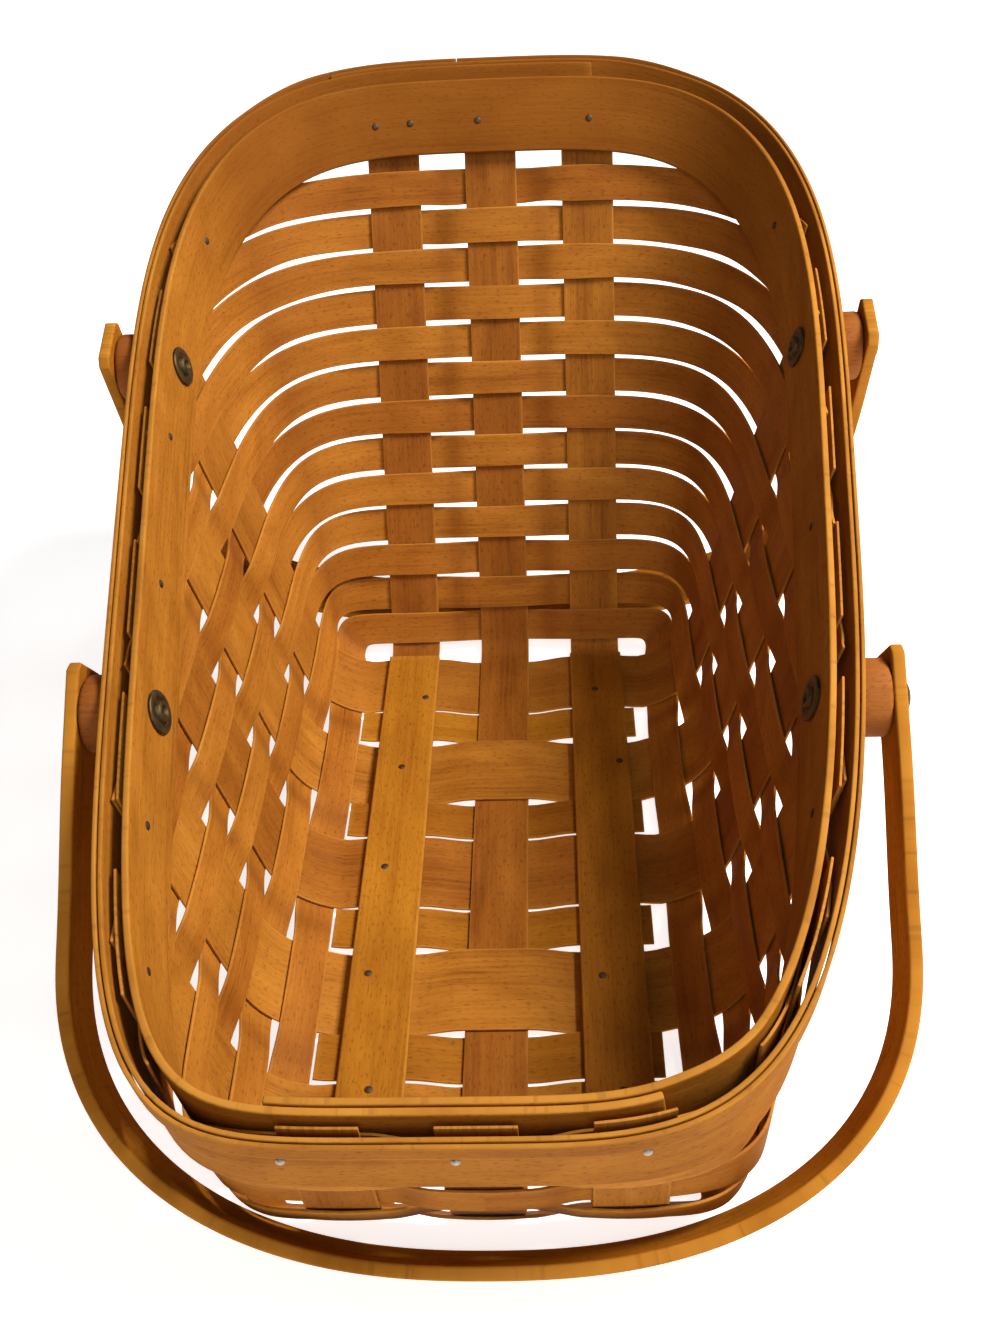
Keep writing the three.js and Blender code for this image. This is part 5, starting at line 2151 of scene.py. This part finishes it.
@dataclass
class Tacks:
    """Small domed tacks in the runners and in both rim bands.

    Args:
        wall: the basket's wall.
        runners: the runners that the first group is in.
        dark: material of the tacks inside.
        pale: material of the tacks outside.
        radius: radius of a head.
        height: height of the heads outside.
        sunk_height: height of the heads inside.
        buried: how deep a head's foot is in the wood.
        inner_face: distance of the inner band's face out from the wall's middle surface.
        outer_face: distance of the outer band's face out from it.
        inner_below: distance of the inner band's tacks below the rim.
        outer_below: distance of the outer band's tacks below the rim.
        left_runner: places in the left runner: x from its middle line, and y.
        right_runner: places in the right runner: x from its middle line, and y.
        inner_back: x of the inner band's tacks at the back.
        inner_left: y of the inner band's tacks at the left.
        inner_right: y of the inner band's tacks at the right.
        outer_front: x of the outer band's tacks at the front.
    """

    wall: BasketWall
    runners: Runners
    dark: bpy.types.Material
    pale: bpy.types.Material
    radius: float = 1.25
    height: float = 0.9
    sunk_height: float = 0.4
    buried: float = 0.3
    inner_face: float = -4.25
    outer_face: float = 3.55
    inner_below: float = 11.0
    outer_below: float = 12.0
    left_runner: tuple[tuple[float, float], ...] = (
        (5.9, 88.0), (-0.5, 49.0), (-2.7, 0.0), (-4.2, -45.0), (-0.3, -87.0),
    )
    right_runner: tuple[tuple[float, float], ...] = (
        (-1.0, 91.0), (6.5, 50.0), (-3.4, -47.0), (1.0, -88.0),
    )
    inner_back: tuple[float, ...] = (-42.0, -29.0, -4.0, 37.0)
    inner_left: tuple[float, ...] = (148.0, 62.0, 8.0, -66.0, -104.0)
    inner_right: tuple[float, ...] = (146.0, 22.0, -66.0)
    outer_front: tuple[float, ...] = (-45.0, -5.0, 38.0)

    def _tack(self, foot: Vector, axis: Vector, height: float) -> Piece:
        """Makes one tack.

        Args:
            foot: the middle of its head's underside, in millimetres.
            axis: the direction in which the head stands.
            height: the head's height.

        Returns:
            The tack.
        """
        radius = self.radius
        profile = [
            (radius, -self.buried),
            (radius, 0.2 * height),
            (0.86 * radius, 0.55 * height),
            (0.55 * radius, 0.85 * height),
            (0.15 * radius, height),
        ]
        tack = turn_up("tack", profile, segments=14)
        put_mark(tack, "edge", np.array([v.co.z / (height * MM) for v in tack.data.vertices]))
        set_on(tack, foot, axis)
        return tack

    def _in_inner_band(self, point: Vector, outward: Vector) -> Piece:
        """Returns a tack in the inner band, at a place on the wall's middle surface."""
        return self._tack(point + outward * self.inner_face, -outward, self.sunk_height)

    def _at_x(self, x: float, at_back: bool, below: float) -> tuple[Vector, Vector]:
        """Returns the place at an x, a distance below the rim of an end wall, and the way out."""
        return self.wall.frame_at(lambda h: self.wall.turn_at_x(x, h, at_back), below)

    def runner_tacks(self) -> list[Piece]:
        """Drives the tacks in both runners.

        Returns:
            The tacks.
        """
        tacks = []
        for side, places in ((-1, self.left_runner), (1, self.right_runner)):
            for dx, y in places:
                foot = Vector((side * self.runners.centre + dx, y, self.runners.top))
                tacks.append(self._tack(foot, Vector((0, 0, 1)), self.sunk_height))
        return tacks

    def inner_tacks(self) -> list[Piece]:
        """Drives the tacks in the inner band.

        Returns:
            The tacks.
        """
        tacks = []
        for x in self.inner_back:
            tacks.append(self._in_inner_band(*self._at_x(x, True, self.inner_below)))
        for at_right, ys in ((False, self.inner_left), (True, self.inner_right)):
            for y in ys:
                place = self.wall.frame_below_rim(y, at_right, self.inner_below)
                tacks.append(self._in_inner_band(*place))
        return tacks

    def outer_tacks(self) -> list[Piece]:
        """Drives the tacks in the outer band.

        Returns:
            The tacks.
        """
        tacks = []
        for x in self.outer_front:
            point, outward = self._at_x(x, False, self.outer_below)
            tacks.append(self._tack(point + outward * self.outer_face, outward, self.height))
        return tacks

    def build(self) -> list[Piece]:
        """Drives all the tacks.

        Returns:
            The three groups, each one piece.
        """
        pieces = []
        for name, tacks, metal in (
            ("runner_tacks", self.runner_tacks(), self.dark),
            ("inner_band_tacks", self.inner_tacks(), self.dark),
            ("outer_band_tacks", self.outer_tacks(), self.pale),
        ):
            pieces.append(dress(join(tacks, name), metal, "basket", "rivet_metal", degrees=45))
        return pieces


# ---- Studio ----


@dataclass(frozen=True)
class Lamp:
    """A soft square lamp that faces the basket.

    Args:
        name: its name.
        place: where it hangs, in metres.
        size: its side, in metres.
        watts: its power.
        warmth: its colour.
    """

    name: str
    place: tuple[float, float, float]
    size: float
    watts: float
    warmth: Colour

    def hang(self, target: tuple[float, float, float]) -> None:
        """Hangs the lamp.

        Args:
            target: the point that it faces, in metres.
        """
        deselect_all()
        aim = (Vector(target) - Vector(self.place)).to_track_quat("-Z", "Y").to_euler()
        bpy.ops.object.light_add(type="AREA", location=self.place, rotation=aim)
        lamp = bpy.context.object
        lamp.name = self.name
        lamp.data.shape = "SQUARE"
        lamp.data.size = self.size
        lamp.data.energy = self.watts
        lamp.data.color = self.warmth


@dataclass
class Studio:
    """A pale floor, soft lights and the camera.

    Args:
        camera_place: where the camera stands, in metres.
        yaw: how far it is turned from +Y to +X, in radians.
        pitch: how far it looks down, in radians.
        roll: how far it is rolled clockwise, in radians.
        lens: its focal length, in millimetres.
        sensor: width of its sensor, in millimetres.
        floor_size: side of the floor, in metres.
        floor_drop: how far the floor lies below the basket, in metres.
        floor_glow: how strongly the floor shines.
        sky: strength of the light from all round.
        lamps: the lamps.
        target: the point that the lamps face, in metres.
    """

    camera_place: tuple[float, float, float] = (0.0202, -0.3237, 0.3496)
    yaw: float = -0.051
    pitch: float = 0.675
    roll: float = 0.054
    lens: float = 50.4
    sensor: float = 36.0
    floor_size: float = 16.0
    floor_drop: float = 0.0003
    floor_glow: float = 0.72
    sky: float = 0.12
    lamps: tuple[Lamp, ...] = (
        Lamp("key_lamp", (0.80, 0.02, 1.14), 0.45, 31.0, (1.0, 0.965, 0.92)),
        Lamp("fill_lamp", (0.2, -1.2, 1.0), 1.0, 9.0, (1.0, 0.97, 0.93)),
    )
    target: tuple[float, float, float] = (0.0, 0.0, 0.06)

    def floor(self) -> None:
        """Lays the pale floor."""
        deselect_all()
        bpy.ops.mesh.primitive_plane_add(size=self.floor_size, location=(0, 0, -self.floor_drop))
        floor = bpy.context.object
        floor.name = "studio_floor"
        bench = Bench("studio_floor")
        speck = bench.noise(bench.object_place(), (6, 6, 6), 2.0)
        colour = bench.ramp(speck, [(0.3, (0.84, 0.84, 0.84)), (0.7, (0.88, 0.88, 0.88))])
        floor.data.materials.append(
            bench.finish(
                Base_Color=colour,
                Roughness=0.8,
                Emission_Color=(1.0, 1.0, 1.0, 1.0),
                Emission_Strength=self.floor_glow,
            )
        )

    def camera(self) -> None:
        """Stands the camera at the photograph's place."""
        yaw, pitch, roll = self.yaw, self.pitch, self.roll
        ahead = Vector(
            (math.sin(yaw) * math.cos(pitch), math.cos(yaw) * math.cos(pitch), -math.sin(pitch))
        )
        right = Vector((math.cos(yaw), -math.sin(yaw), 0.0))
        down = ahead.cross(right)
        turned_right = right * math.cos(roll) + down * math.sin(roll)
        turned_down = down * math.cos(roll) - right * math.sin(roll)
        data = bpy.data.cameras.new("camera")
        data.sensor_width = self.sensor
        data.sensor_fit = "HORIZONTAL"
        data.lens = self.lens
        data.clip_start = 0.01
        data.clip_end = 60.0
        camera = bpy.data.objects.new("camera", data)
        bpy.context.scene.collection.objects.link(camera)
        axes = Matrix((turned_right, -turned_down, -ahead)).transposed().to_4x4()
        camera.matrix_world = Matrix.Translation(self.camera_place) @ axes
        bpy.context.scene.camera = camera

    def build(self) -> None:
        """Sets up the whole studio."""
        self.floor()
        for lamp in self.lamps:
            lamp.hang(self.target)
        world = bpy.context.scene.world or bpy.data.worlds.new("studio")
        bpy.context.scene.world = world
        world.use_nodes = True
        background = world.node_tree.nodes["Background"]
        background.inputs["Color"].default_value = (1.0, 1.0, 1.0, 1.0)
        background.inputs["Strength"].default_value = self.sky
        bpy.context.scene.view_settings.view_transform = "Standard"
        self.camera()


def main() -> None:
    """Builds the basket piece by piece and sets it in the studio."""
    logging.basicConfig(level=logging.INFO, format="%(message)s")
    Studio().build()
    wall = BasketWall()
    weaver, upright, floor = WEAVER_WOOD.build(), UPRIGHT_WOOD.build(), FLOOR_WOOD.build()
    rim, bent, turned = RIM_WOOD.build(), HANDLE_WOOD.build(), SPACER_WOOD.build()
    rivet, dark, pale = RIVET_METAL.build(), DARK_TACK.build(), PALE_TACK.build()
    hinges = {joint["child"]: Vector(joint["pos_m"]) / MM for joint in frame["joints"]}
    runners = Runners(floor)
    pivots = Pivots(wall, rivet, turned)
    front, rear = hinges["front_handle"], hinges["rear_handle"]
    handles = (
        Handle("front", bent, pivots.front_span, 145.98, pivot=front, swing=219.587, tone=0.4),
        Handle("rear", bent, pivots.rear_span, 145.0, pivot=rear, swing=-69.998, tone=0.6),
    )
    pieces = Weave(wall, weaver, upright, floor).build()
    pieces += runners.build()
    pieces += RimBands(wall, rim).build()
    pieces += pivots.build()
    pieces += [handle.build() for handle in handles]
    pieces += Tacks(wall, runners, dark, pale).build()
    for piece in pieces:
        log.info("%s: %d faces", piece.name, len(piece.data.polygons))


if __name__ == "__main__":
    main()
